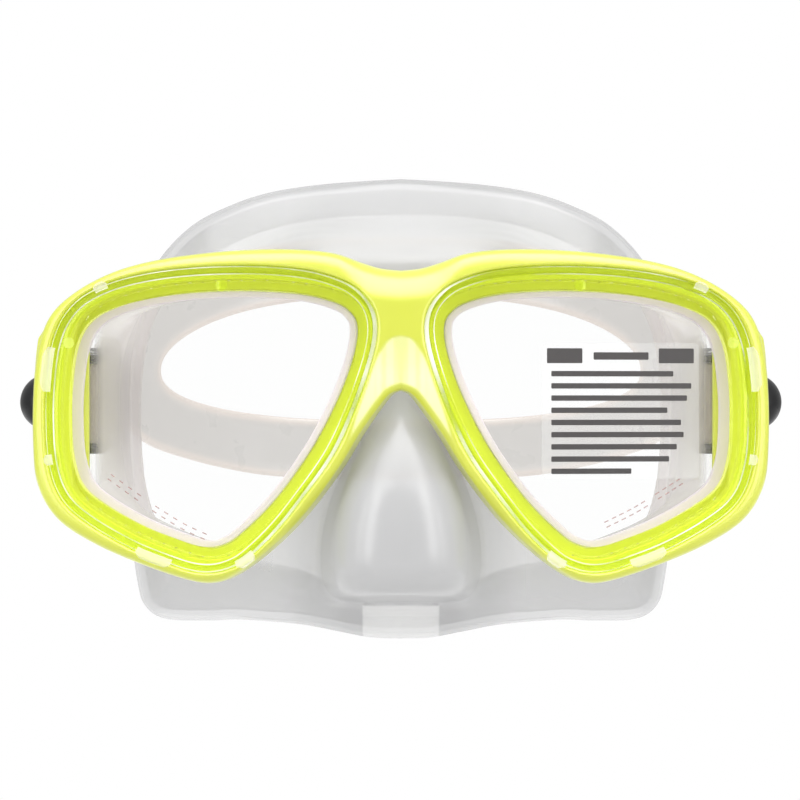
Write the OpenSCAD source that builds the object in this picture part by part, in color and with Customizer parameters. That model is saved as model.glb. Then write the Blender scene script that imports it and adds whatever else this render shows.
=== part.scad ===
// Two-window snorkel mask: yellow frame, clear lens retainers, tempered lenses,
// silicone face skirt with nose pocket, split silicone strap and tilting strap buckles.
// Millimetres. +X to the right seen from the front, +Y towards the wearer's head, +Z up.
// The origin is the centre of the face seal's rear plane.
// "left" and "right" are as seen from the front.

/* [Frame] */
// Angle by which each window is swept back from the bridge, in degrees
lens_cant = 8; // [7:0.5:9]
// Front to back depth of the yellow frame's rim
frame_depth = 11; // [10.5:0.5:11.5]
// Thickness of the side ear that carries the buckle
ear_t = 3.2; // [3:0.1:3.2]

/* [Lenses] */
// Thickness of the tempered glass
glass_t = 4; // [3.5:0.1:4]
// How far the glass reaches under the retainer
glass_lap = 2.4; // [2:0.1:2.5]
// Width of the clear lens retainer ring
retainer_w = 5.7; // [5:0.1:5.8]

/* [Skirt] */
// Wall thickness of the silicone skirt
skirt_t = 1.8; // [1.5:0.1:2]
// Depth of the cheek and temple curve at the rear edge of the skirt
face_sag = 27; // [25:1:28]

/* [Strap] */
// Width of the plain strap
strap_w = 19; // [18:0.5:19]
// Thickness of the strap
strap_t = 1.8; // [1.5:0.1:1.8]
// Overall height of the split pad at the back of the head
pad_h = 67; // [60:1:70]
// Height of the slot in the split pad
slot_h = 34; // [28:1:36]
// Angle by which the strap rises towards the back, in degrees
strap_rise = 5.8; // [4:0.2:7]

/* [Buckle] */
// Diameter of the strap roller
roller_d = 5.2; // [4.8:0.1:5.2]
// Diameter of the buckle's pivot hub
hub_d = 6; // [5.5:0.1:6]
// Radius of the domed pivot cap
cap_r = 6.67; // [6.4:0.01:6.7]
// Wire diameter of the release lever's spring
spring_wire = 0.5; // [0.4:0.05:0.5]

/* [Hidden] */
$fn = 48;
e = 0.01;

// colours
c_frame = [0.93, 0.96, 0.16];
c_clear = [0.92, 0.94, 0.92, 0.5];
c_glass = [0.85, 0.92, 0.93, 0.4];
c_skirt = [0.85, 0.85, 0.86, 0.6];
c_strap = [0.87, 0.85, 0.84, 0.7];
c_black = [0.06, 0.06, 0.065];
c_steel = [0.75, 0.76, 0.78];

// front reference plane of the glass at the bridge
lens_y = -56;
glass_y0 = 0.2;
seat_y = glass_y0 + glass_t + 1.0;

// edge of the clear window, right side, x outward and z up, clockwise from the inner top corner
window_pts = [[9.8, 16.6], [11.9, 20.3], [16.4, 22.5], [23.5, 24], [34.8, 24.7], [47, 24.4], [57.2, 23.2], [65.4, 21.1],
  [71.3, 17.8], [74.5, 12.1], [75.8, 3], [76, -5], [75.4, -13.1], [73.2, -19.4], [68, -23.8], [59.3, -28.6],
  [51.1, -31.8], [45.5, -33.4], [41.1, -33], [36.8, -30.5], [28.9, -22.8], [20.6, -11.6], [14.5, -0.2], [10.8, 9.6]];

// outer edge of the frame, right half, from the top of the bridge round to its underside
frame_pts = [[0, 29.4], [5, 29.9], [10, 31.4], [15, 33.2], [22, 34.1], [32, 34.3], [44, 33.6], [57, 31.8], [67, 29],
  [75.5, 24.5], [81.2, 19], [84, 11], [85.2, 0], [85.2, -10], [83.9, -19.7], [79.2, -27.4], [70.3, -33.1],
  [59, -37.8], [49, -41], [43.3, -41.7], [38.2, -40.1], [30.5, -34.5], [22.4, -26.6], [14.2, -15.9],
  [9.1, -7.6], [5, -1.7], [2.5, 1.3], [0, 2.3]];

// outer edge of the skirt behind the frame, right half, top to bottom
skirt_pts = [[0, 51.5], [14.4, 50.7], [24, 49.8], [32, 48.5], [40, 46.1], [49.3, 41.8], [57.2, 34.6], [63.5, 24.5], [67, 12],
  [67.8, -3], [67, -20], [65, -34], [63.6, -43.5], [61.8, -49.3], [56.8, -52.3], [46, -52.3], [38, -51.8], [24, -52.5],
  [14.4, -54.1], [7, -55.4], [0, -55.6]];

// inner edge of the sealing lip, right half, top to bottom
lip_pts = [[0, 43.5], [15, 43], [30, 40.6], [43, 35.6], [53.5, 28], [60, 18], [62.6, 5], [62.8, -10], [61.4, -22],
  [57.6, -31], [49, -36.5], [36, -38], [24, -40], [15, -44], [8, -47.6], [0, -48.6]];

// ---------- curves ----------
function cr(a, b, c, d, t) = 0.5 * (2 * b + (c - a) * t + (2 * a - 5 * b + 4 * c - d) * t * t + (3 * b - a - 3 * c + d) * t * t * t);
function closed_curve(p, n) = let (m = len(p)) [for (i = [0:m - 1]) for (k = [0:n - 1]) cr(p[(i + m - 1) % m], p[i], p[(i + 1) % m], p[(i + 2) % m], k / n)];
function open_curve(p, n) = let (m = len(p)) concat([for (i = [0:m - 2]) for (k = [0:n - 1]) cr(p[max(i - 1, 0)], p[i], p[i + 1], p[min(i + 2, m - 1)], k / n)], [p[m - 1]]);
function unit(v) = v / norm(v);
// the curve p moved outwards by d, for a clockwise closed curve
function grown(p, d) = let (m = len(p)) [for (i = [0:m - 1]) let (t = unit(p[(i + 1) % m] - p[(i + m - 1) % m])) p[i] + d * [-t[1], t[0]]];
// the same, but reaching further in beside the bridge, where the normal points to the middle
inner_reach = 1.5;
function shelf(p, d) = let (m = len(p)) [for (i = [0:m - 1]) let (t = unit(p[(i + 1) % m] - p[(i + m - 1) % m]), n = [-t[1], t[0]]) p[i] + (d - inner_reach * max(-n[0], 0)) * n];
function mirrored(p) = concat(p, [for (i = [len(p) - 2:-1:1]) [-p[i][0], p[i][1]]]);

// the skirt's tube and the frame's opening stop short of the window's outer edge, where the ear's root stands
temple_u = 73.5;
function short_of(p, x) = [for (q = p) [min(q[0], x), q[1]]];
window = closed_curve(window_pts, 3);
window_coarse = closed_curve(window_pts, 2);
frame_half = concat([[-4, 29.4]], open_curve(frame_pts, 3), [[-4, 2.3]]);
skirt_outer = mirrored(open_curve(skirt_pts, 2));
skirt_lip = mirrored(open_curve(lip_pts, 2));
function face_y(x) = -face_sag + face_sag * pow(abs(x) / 67.8, 2);

// ---------- helpers ----------
// prism of an XZ outline between two Y planes
module slab(p, y0, y1) { translate([0, y1, 0]) rotate([90, 0, 0]) linear_extrude(y1 - y0) polygon(p); }
// prism of a YZ outline between two X planes
module slab_x(p, x0, x1) { translate([x0, 0, 0]) rotate([90, 0, 90]) linear_extrude(x1 - x0) polygon(p); }
module on_window() { translate([0, lens_y, 0]) rotate([0, 0, lens_cant]) children(); }
module side(s) { if (s > 0) children(); else mirror([1, 0, 0]) children(); }
module cyl_x(r, x0, x1) { translate([x0, 0, 0]) rotate([0, 90, 0]) cylinder(r = r, h = x1 - x0); }
module cyl_z(r, z0, z1) { translate([0, 0, z0]) cylinder(r = r, h = z1 - z0); }

// ---------- frame ----------
pivot = [0, -22, -0.5];
ear_x1 = 84.7;
ear_x0 = ear_x1 - ear_t;
hub_r = hub_d / 2;
ear_end_r = 8;
rabbet = retainer_w + 0.3;

module ear() {
  difference() {
    union() {
      intersection() {
        slab_x(concat([[-45, 15.5], [-37, 15], [-30, 11]],
          [for (a = [60:-15:-60]) [pivot[1] + ear_end_r * cos(a), pivot[2] + ear_end_r * sin(a)]],
          [[-30, -12], [-37, -17], [-45, -19]]), ear_x0, ear_x1);
        // its face follows the rim's outline
        slab(concat([[40, 31]], [for (p = open_curve(frame_pts, 3)) if (p[0] > 60) [0.99 * p[0] - 0.4, p[1]]], [[40, -37]]), -50, -10);
      }
      translate([0, pivot[1], pivot[2]]) cyl_x(6.6, ear_x0, ear_x1);
      // root web that joins the ear to the rim
      slab_x([[-44, 14.5], [-36.5, 13.5], [-35, 9], [-35, -10], [-36.5, -15], [-44, -17]], 77.2, ear_x0 + 1);
    }
    translate(pivot) cyl_x(hub_r + 0.06, ear_x0 - 1, ear_x1 + 1);
  }
}

module frame_side() {
  difference() {
    union() {
      intersection() {
        on_window() slab(frame_half, -3.8, frame_depth - 3.8);
        translate([0, -100, -100]) cube([120, 200, 200]);
      }
      ear();
    }
    on_window() {
      slab(grown(window, rabbet), -5, -0.4);
      slab(grown(window, glass_lap + 0.4), -1, seat_y);
      slab(short_of(shelf(window, 0.5), temple_u), seat_y - 1, 14);
      // channel for the retainer's skirt wall
      difference() {
        slab(grown(window, rabbet), -1, 3.2);
        slab(grown(window, rabbet - 1.9), -2, 4);
      }
    }
  }
}
module frame() { color(c_frame) for (s = [-1, 1]) side(s) frame_side(); }

// ---------- lenses, retainers and film ----------
module lens(s) { color(c_glass) side(s) on_window() slab(grown(window, glass_lap), glass_y0, glass_y0 + glass_t); }

module retainer(s) {
  color(c_clear) side(s) on_window() {
    difference() {
      union() {
        slab(grown(window, retainer_w), -3.0, -0.6);
        slab(grown(window, 2.2), -1, 0.1);
        difference() {
          slab(grown(window, retainer_w), -1, 3.0);
          slab(grown(window, retainer_w - 1.3), -2, 3.4);
        }
      }
      slab(grown(window, 0), -4, 4);
    }
  }
}

module lens_film() {
  color([0.97, 0.97, 0.97, 0.5]) on_window() slab([[32.4, 13], [69, 13], [69, -18], [32.4, -18]], 0.02, 0.17);
}

// ---------- skirt ----------
// outline of the skirt's right half at the back of the window tubes, d inside the outer surface
function tube_end(d) = concat([[-2, skirt_pts[0][1] - d]], [for (i = [1:len(skirt_pts) - 2]) let (p = skirt_pts[i]) [p[0] - d * p[0] / 68, p[1] - d * sign(p[1])]],
  [[-2, skirt_pts[len(skirt_pts) - 1][1] + d]]);
// window tube and chamber, at a distance d inside the outer surface
module window_tube(d) {
  hull() {
    on_window() slab(short_of(shelf(window_coarse, 0.2 - d), temple_u - 0.3 - d), 7.5, 8.5);
    slab(tube_end(d + 0.3), -33.6, -32.4);
  }
}
// straight neck of the tube inside the frame
module neck(d) {
  on_window() slab(short_of(shelf(window_coarse, 0.15 - d), temple_u - 0.35 - d), seat_y - (d > 0 ? 0.3 : 0), 8);
}
module chamber(d, y1) {
  slab([for (p = skirt_outer) [p[0] - d * p[0] / 68, p[1] - d * sign(p[1])]], -33, y1);
}
module nose(d) {
  hull() {
    translate([0, -43, -3.5]) sphere(r = 4.4 - d, $fn = 24);
    for (s = [-1, 1]) {
      translate([s * 6.2, -57.5, -36]) sphere(r = 6.2 - d, $fn = 24);
      translate([s * 7.2, -52.5, -42]) sphere(r = 6 - d, $fn = 24);
      translate([s * 12.5, -31.7, -42]) sphere(r = 7.4 - d, $fn = 24);
      translate([s * 6, -31.7, -6]) sphere(r = 6.5 - d, $fn = 24);
    }
  }
}
module behind_face(dy) {
  translate([0, 0, -80]) linear_extrude(160)
    polygon(concat([for (x = [-84:6:84]) [x, face_y(x) - dy]], [[84, 60], [-84, 60]]));
}
module skirt() {
  // resize() with no size keeps the shape and merges it into one mesh
  color(c_skirt) resize([0, 0, 0]) union() {
    difference() {
      union() {
        for (s = [-1, 1]) side(s) { window_tube(0); neck(0); }
        chamber(0, 2);
        nose(0);
      }
      for (s = [-1, 1]) side(s) { window_tube(skirt_t); neck(skirt_t); }
      chamber(skirt_t, 3);
      nose(skirt_t);
      behind_face(0);
    }
    // sealing lip that turns inwards along the rear edge
    difference() {
      slab([for (p = skirt_outer) [p[0] - 0.9 * p[0] / 68, p[1] - 0.9 * sign(p[1])]], -32, 2);
      slab(skirt_lip, -40, 5);
      behind_face(0.1);
      difference() {
        translate([-90, -60, -80]) cube([180, 80, 160]);
        behind_face(1.9);
      }
    }
    // rims that seat against the glass
    for (s = [-1, 1]) side(s) on_window() difference() {
      slab(grown(window_coarse, glass_lap), seat_y - 0.95, seat_y - 0.05);
      slab(shelf(window_coarse, -1.2), 0, 12);
    }
    for (s = [-1, 1]) side(s) on_window() difference() {
      slab(short_of(shelf(window_coarse, -0.4), temple_u - 0.6), seat_y - 0.5, 7);
      slab(short_of(shelf(window_coarse, -1.9), temple_u - 2.4), 0, 12);
    }
  }
}

// ---------- strap ----------
roller_r = roller_d / 2;
roller_c = [74.35, -22];
wrap_r = roller_r + 0.25 + strap_t / 2;
run_x = roller_c[0] - wrap_r;
tail_x = run_x + strap_t + 0.3;
// centre line of the strap seen from above, right half: tail, turn round the roller, temple run, then the back of the head
tail_line = concat([[tail_x, 27], [tail_x, 8]],
  open_curve([[tail_x + 0.1, 5], [tail_x + 1.2, 0], [tail_x + 3.6, -5.5], [roller_c[0] + wrap_r - 0.2, -11.5]], 3),
  [for (a = [0:-20:-180]) [roller_c[0] + wrap_r * cos(a), roller_c[1] + wrap_r * sin(a)]]);
back_line = open_curve([[run_x, 40], [run_x - 0.6, 44.5], [68.4, 49.5], [65.9, 55.2], [62.7, 61.3], [58.4, 68.2],
  [51.2, 77.2], [40, 86], [27, 91.5], [13.5, 94.4], [0, 95.2]], 3);
half_line = concat(tail_line, [[run_x, -10], [run_x, 2], [run_x, 27], [run_x, 27.6]], back_line);
strap_line = concat(half_line, [for (i = [len(half_line) - 2:-1:0]) [-half_line[i][0], half_line[i][1]]]);
// half height of the strap and of its slot, against the distance round the back of the head
function ease(t) = let (u = min(max(t, 0), 1)) u * u * (3 - 2 * u);
function strap_hh(p) = strap_w / 2 + (pad_h - strap_w) / 2 * lookup(p[1], [[27, 0], [34, 0.04], [42, 0.155], [50, 0.31], [56, 0.425], [64, 0.545],
  [72, 0.66], [80, 0.785], [87, 0.9], [92, 0.97], [95.2, 1]]);
function slot_hh(p) = p[1] < 50 || abs(p[0]) > 63.6 ? 0 : slot_h / 2 * sqrt(1 - pow(abs(p[0]) / 63.6, 2.6));
function side_of(l, i) = let (m = len(l), t = unit(l[min(i + 1, m - 1)] - l[max(i - 1, 0)])) [-t[1], t[0]];
// one half of the strap, above the slot: four points to a station
module strap_band() {
  m = len(strap_line);
  pts = [for (i = [0:m - 1]) let (c = strap_line[i], n = side_of(strap_line, i) * strap_t / 2, z0 = slot_hh(c) > 0.3 ? slot_hh(c) : -e, z1 = strap_hh(c))
    each [[c[0] - n[0], c[1] - n[1], z0], [c[0] + n[0], c[1] + n[1], z0], [c[0] + n[0], c[1] + n[1], z1], [c[0] - n[0], c[1] - n[1], z1]]];
  polyhedron(pts, concat([[0, 1, 2, 3]], [for (i = [0:m - 2]) for (k = [0:3]) let (a = i * 4, j = (k + 1) % 4) [a + k, a + k + 4, a + j + 4, a + j]],
    [[4 * m - 1, 4 * m - 2, 4 * m - 3, 4 * m - 4]]), convexity = 6);
}
// everything that tilts about the pivots is drawn level, then raised at the back
module raised() { translate(pivot) rotate([strap_rise, 0, 0]) translate(-pivot) children(); }
module strap_level() {
  // resize() with no size keeps the shape and merges it into one mesh
  resize([0, 0, 0]) translate([0, 0, pivot[2]]) union() { strap_band(); mirror([0, 0, 1]) strap_band(); }
}
module strap() { color(c_strap) raised() strap_level(); }

keeper_y0 = 12;
keeper_l = 8;
module strap_keeper(s) {
  color(c_strap) raised() side(s) translate([0, 0, pivot[2]]) difference() {
    slab([for (c = [[68.3, -1], [76, -1], [76, 1], [68.3, 1]]) [c[0], c[1] * (strap_w / 2 + 1.5)]], keeper_y0, keeper_y0 + keeper_l);
    slab([for (c = [[run_x - strap_t / 2 - 0.3, -1], [tail_x + strap_t / 2 + 0.3, -1], [tail_x + strap_t / 2 + 0.3, 1], [run_x - strap_t / 2 - 0.3, 1]])
      [c[0], c[1] * (strap_w / 2 + 0.3)]], keeper_y0 - 1, keeper_y0 + keeper_l + 1);
  }
}

// ---------- buckle ----------
arm_z0 = strap_w / 2 + 0.4;
arm_z1 = arm_z0 + 1.8;
plate_x0 = 79.25;
plate_x1 = ear_x0 - 0.6;
lever_pin_c = [82.4, -8.5];
hub_end = ear_x1 + 0.1;

module buckle_level(s) {
  translate([0, 0, pivot[2]]) difference() {
    union() {
      // two arms
      for (m = [0, 1]) mirror([0, 0, m]) translate([0, 0, arm_z0]) linear_extrude(arm_z1 - arm_z0)
        polygon([[69.5, -26.4], [71, -28], [79.8, -28], [plate_x1, -26.8], [plate_x1, -16], [84.4, -10.5], [84.6, -7.4], [83, -5.4],
          [79, -6], [72, -8.5], [69.5, -11]]);
      // base plate beside the ear
      translate([plate_x0, -28, -arm_z0 - e]) cube([plate_x1 - plate_x0, 10.8, 2 * arm_z0 + 2 * e]);
      // fixed clamp bar between the two runs of the strap
      translate([72.1, -15.6, -arm_z0 - e]) cube([4.5, 3.4, 2 * arm_z0 + 2 * e]);
      // pivot hub
      translate([0, pivot[1], 0]) cyl_x(hub_r, plate_x0 + 0.5, hub_end);
    }
    translate([roller_c[0], roller_c[1], 0]) cyl_z(1.0, -20, 20);
    translate([lever_pin_c[0], lever_pin_c[1], 0]) cyl_z(0.8, -20, 20);
    translate([0, pivot[1], 0]) cyl_x(1.1, plate_x0 + 1, hub_end + 1);
  }
}
module buckle_body(s) { color(c_black) raised() side(s) buckle_level(s); }
module roller_axle(s) {
  color(c_steel) raised() side(s) translate([roller_c[0], roller_c[1], pivot[2]]) {
    cyl_z(0.99, -arm_z1 - 0.1, arm_z1);
    cyl_z(1.7, arm_z1, arm_z1 + 0.5);
  }
}
module strap_roller(s) {
  color(c_black) raised() side(s) translate([roller_c[0], roller_c[1], pivot[2]]) difference() {
    cyl_z(roller_r, -arm_z0 + 0.3, arm_z0 - 0.3);
    cyl_z(1.04, -20, 20);
  }
}
module release_lever(s) {
  color(c_black) raised() side(s) translate([0, 0, pivot[2]]) difference() {
    union() {
      translate([lever_pin_c[0], lever_pin_c[1], 0]) cyl_z(1.9, -arm_z0 + 0.3, 5.4);
      // toothed nose, full width of the strap
      translate([0, 0, -8.6]) linear_extrude(13.9)
        polygon([[79.35, -13], [80, -13.6], [81.4, -12.4], [82.6, -10.4], [82.2, -7.2], [80.7, -7.6], [79.35, -11.4]]);
      // thumb tab
      translate([0, 0, -5.4]) linear_extrude(10.8)
        polygon([[82.5, -10.3], [84.2, -9.6], [86.3, -6.4], [87.3, -1.6], [87, 0.6], [86, 1.2], [85.2, 0], [84.8, -3.2], [83.2, -6.4], [82, -6.9]]);
    }
    translate([lever_pin_c[0], lever_pin_c[1], 0]) cyl_z(0.85, -20, 20);
  }
}
module lever_pin(s) {
  color(c_steel) raised() side(s) translate([lever_pin_c[0], lever_pin_c[1], pivot[2]]) {
    cyl_z(0.79, -arm_z1 - 0.1, arm_z1);
    cyl_z(1.3, arm_z1, arm_z1 + 0.4);
  }
}
// torsion spring on the lever's pin
coil_r = 1.35;
coil_turns = 4;
coil_pitch = 0.66;
module coil() {
  m = coil_turns * 12;
  w = spring_wire / 2;
  path = concat([[coil_r, -2.6, w]], [for (i = [0:m]) let (a = i * 30) [coil_r * cos(a), coil_r * sin(a), w + coil_pitch * i / 12]],
    [[coil_r, 2.6, w + coil_pitch * coil_turns]]);
  k = len(path);
  pts = [for (i = [0:k - 1]) let (t = unit(path[min(i + 1, k - 1)] - path[max(i - 1, 0)]), u = unit([t[1], -t[0], 0]), v = cross(t, u))
    for (a = [0:60:300]) path[i] + w * (cos(a) * u + sin(a) * v)];
  polyhedron(pts, concat([[5, 4, 3, 2, 1, 0]], [for (i = [0:k - 2]) for (j = [0:5]) let (q = i * 6, n = (j + 1) % 6) [q + j, q + n, q + n + 6, q + j + 6]],
    [[for (j = [0:5]) (k - 1) * 6 + j]]), convexity = 8);
}
module lever_spring(s) {
  color(c_steel) raised() side(s) translate([lever_pin_c[0], lever_pin_c[1], pivot[2] + 5.9]) coil();
}
module wave_washer(s) {
  color(c_steel) raised() side(s) translate([0, pivot[1], pivot[2]]) difference() {
    cyl_x(5.4, plate_x1 + 0.1, ear_x0 - 0.1);
    cyl_x(hub_r + 0.1, plate_x1 - 1, ear_x0 + 1);
  }
}
module retaining_washer(s) {
  color(c_steel) raised() side(s) translate([0, pivot[1], pivot[2]]) difference() {
    cyl_x(5, hub_end, hub_end + 0.5);
    cyl_x(1.15, hub_end - 1, hub_end + 1);
  }
}
module pivot_screw(s) {
  color(c_steel) raised() side(s) translate([0, pivot[1], pivot[2]]) difference() {
    union() {
      cyl_x(2.6, hub_end + 0.5, hub_end + 2.1);
      cyl_x(1.09, plate_x0 + 2.2, hub_end + 0.6);
    }
    translate([hub_end + 1.1, 0, 0]) rotate([0, 90, 0]) cylinder(r = 1.3, h = 3, $fn = 6);
  }
}
module pivot_cap(s) {
  color(c_black) raised() side(s) translate([0, pivot[1], pivot[2]]) difference() {
    intersection() {
      translate([90.2 - cap_r, 0, 0]) sphere(r = cap_r, $fn = 40);
      cyl_x(20, ear_x1 + 0.12, 95);
    }
    cyl_x(5.05, ear_x1, hub_end + 0.55);
    cyl_x(2.7, ear_x1, hub_end + 2.2);
  }
}

frame();
skirt();
lens(-1);  // lens_left
lens(1);  // lens_right
retainer(-1);  // retainer_left
retainer(1);  // retainer_right
lens_film();
strap();
buckle_body(-1);  // buckle_body_left
buckle_body(1);  // buckle_body_right
roller_axle(-1);  // roller_axle_left
roller_axle(1);  // roller_axle_right
strap_roller(-1);  // strap_roller_left
strap_roller(1);  // strap_roller_right
release_lever(-1);  // release_lever_left
release_lever(1);  // release_lever_right
lever_pin(-1);  // lever_pin_left
lever_pin(1);  // lever_pin_right
lever_spring(-1);  // lever_spring_left
lever_spring(1);  // lever_spring_right
wave_washer(-1);  // wave_washer_left
wave_washer(1);  // wave_washer_right
retaining_washer(-1);  // retaining_washer_left
retaining_washer(1);  // retaining_washer_right
pivot_screw(-1);  // pivot_screw_left
pivot_screw(1);  // pivot_screw_right
pivot_cap(-1);  // pivot_cap_left
pivot_cap(1);  // pivot_cap_right
strap_keeper(-1);  // strap_keeper_left
strap_keeper(1);  // strap_keeper_right
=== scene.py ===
import math

import bpy
import numpy as np
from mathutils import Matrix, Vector


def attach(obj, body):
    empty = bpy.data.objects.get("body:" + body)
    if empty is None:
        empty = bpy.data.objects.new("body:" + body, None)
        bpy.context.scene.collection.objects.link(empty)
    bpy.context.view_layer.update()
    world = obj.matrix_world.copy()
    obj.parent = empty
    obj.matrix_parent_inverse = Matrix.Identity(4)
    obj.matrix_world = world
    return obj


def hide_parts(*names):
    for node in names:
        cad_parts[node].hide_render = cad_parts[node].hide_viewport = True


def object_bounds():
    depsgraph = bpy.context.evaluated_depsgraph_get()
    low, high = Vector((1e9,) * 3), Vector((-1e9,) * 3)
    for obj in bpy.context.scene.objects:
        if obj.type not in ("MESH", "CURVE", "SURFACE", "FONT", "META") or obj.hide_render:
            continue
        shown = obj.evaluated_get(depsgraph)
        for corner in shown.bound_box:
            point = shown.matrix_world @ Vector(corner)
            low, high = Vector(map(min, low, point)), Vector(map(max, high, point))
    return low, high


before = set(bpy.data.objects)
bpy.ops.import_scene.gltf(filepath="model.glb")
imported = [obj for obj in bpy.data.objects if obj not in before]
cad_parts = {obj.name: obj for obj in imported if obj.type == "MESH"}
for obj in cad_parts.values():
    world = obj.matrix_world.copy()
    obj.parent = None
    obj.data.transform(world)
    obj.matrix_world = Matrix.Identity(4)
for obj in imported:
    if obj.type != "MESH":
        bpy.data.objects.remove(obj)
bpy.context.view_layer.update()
K = 1.0  # grid step factor

# ------------------------------------------------------------------ curves (mm)
WINDOW = [[9.8, 16.6], [11.9, 20.3], [16.4, 22.5], [23.5, 24], [34.8, 24.7], [47, 24.4], [57.2, 23.2], [65.4, 21.1],
          [71.3, 17.8], [74.5, 12.1], [75.8, 3], [76, -5], [75.4, -13.1], [73.2, -19.4], [68, -23.8], [59.3, -28.6],
          [51.1, -31.8], [45.5, -33.4], [41.1, -33], [36.8, -30.5], [28.9, -22.8], [20.6, -11.6], [14.5, -0.2], [10.8, 9.6]]
FRAME = [[0, 29.4], [5, 29.9], [10, 31.4], [15, 33.2], [22, 34.1], [32, 34.3], [44, 33.6], [57, 31.8], [67, 29],
         [75.5, 24.5], [81.2, 19], [84, 11], [85.2, 0], [85.2, -10], [83.9, -19.7], [79.2, -27.4], [70.3, -33.1],
         [59, -37.8], [49, -41], [43.3, -41.7], [38.2, -40.1], [30.5, -34.5], [22.4, -26.6], [14.2, -15.9],
         [9.1, -7.6], [5, -1.7], [2.5, 1.3], [0, 2.3]]
SKIRT = [[0, 51.5], [14.4, 50.7], [24, 49.8], [32, 48.5], [40, 46.1], [49.3, 41.8], [57.2, 34.6], [63.5, 24.5], [67, 12],
         [67.8, -3], [67, -20], [65, -34], [63.6, -43.5], [61.8, -49.3], [56.8, -52.3], [46, -52.3], [38, -51.8], [24, -52.5],
         [14.4, -54.1], [7, -55.4], [0, -55.6]]
TEMPLE_U = 73.6
LIP = [[0, 43.5], [15, 43], [30, 40.6], [43, 35.6], [53.5, 28], [60, 18], [62.6, 5], [62.8, -10], [61.4, -22],
       [57.6, -31], [49, -36.5], [36, -38], [24, -40], [15, -44], [8, -47.6], [0, -48.6]]
CANT = math.radians(8)
LENS_Y = -56.0
CC, SC = math.cos(CANT), math.sin(CANT)
PIVOT = (0.0, -22.0, -0.5)
RISE = math.radians(5.8)


def cr(a, b, c, d, t):
    return 0.5 * (2 * b + (c - a) * t + (2 * a - 5 * b + 4 * c - d) * t * t + (3 * b - a - 3 * c + d) * t ** 3)


def closed_curve(p, n):
    p = np.array(p, float)
    m = len(p)
    return np.array([cr(p[i - 1], p[i], p[(i + 1) % m], p[(i + 2) % m], k / n) for i in range(m) for k in range(n)])


def open_curve(p, n):
    p = np.array(p, float)
    m = len(p)
    out = [cr(p[max(i - 1, 0)], p[i], p[i + 1], p[min(i + 2, m - 1)], k / n) for i in range(m - 1) for k in range(n)]
    return np.array(out + [p[-1]])


def mirrored(p):
    return np.concatenate([p, (p * [-1, 1])[-2:0:-1]])


def outward(p):
    t = np.roll(p, -1, 0) - np.roll(p, 1, 0)
    t /= np.linalg.norm(t, axis=1)[:, None]
    return np.stack([-t[:, 1], t[:, 0]], 1)


def arc_even(p, n, closed=True):
    q = np.concatenate([p, p[:1]]) if closed else p
    s = np.concatenate([[0], np.cumsum(np.linalg.norm(np.diff(q, axis=0), axis=1))])
    t = np.linspace(0, s[-1], n + 1)[:-1] if closed else np.linspace(0, s[-1], n)
    return np.stack([np.interp(t, s, q[:, k]) for k in range(q.shape[1])], 1)


def poly_sdf(poly, X, Z):
    P = np.stack([np.ravel(X), np.ravel(Z)], 1).astype(np.float32)
    a = np.asarray(poly, np.float32)
    b = np.roll(a, -1, 0)
    best = np.full(len(P), 1e9, np.float32)
    inside = np.zeros(len(P), bool)
    for p, q in zip(a, b):
        e = q - p
        w = P - p
        t = np.clip((w @ e) / max(float(e @ e), 1e-12), 0, 1)
        best = np.minimum(best, (w[:, 0] - t * e[0]) ** 2 + (w[:, 1] - t * e[1]) ** 2)
        if p[1] != q[1]:
            c = (p[1] > P[:, 1]) != (q[1] > P[:, 1])
            inside ^= c & (P[:, 0] < p[0] + (P[:, 1] - p[1]) / (q[1] - p[1]) * (q[0] - p[0]))
    d = np.sqrt(best)
    return np.where(inside, -d, d).reshape(np.shape(X))


def smin(a, b, k):
    h = np.maximum(k - np.abs(a - b), 0) / k
    return np.minimum(a, b) - h * h * k * 0.25


def smax(a, b, k):
    return -smin(-a, -b, k)


def step(a, b, x):
    t = np.clip((x - a) / (b - a), 0, 1)
    return t * t * (3 - 2 * t)


# ------------------------------------------------------------------ surface nets
def sample(F, idx):
    lim = np.array(F.shape) - 2
    i = np.clip(np.floor(idx).astype(int), 0, lim)
    f = idx - i
    r = 0
    for dx in (0, 1):
        for dy in (0, 1):
            for dz in (0, 1):
                w = (f[:, 0] if dx else 1 - f[:, 0]) * (f[:, 1] if dy else 1 - f[:, 1]) * (f[:, 2] if dz else 1 - f[:, 2])
                r = r + w * F[i[:, 0] + dx, i[:, 1] + dy, i[:, 2] + dz]
    return r


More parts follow.
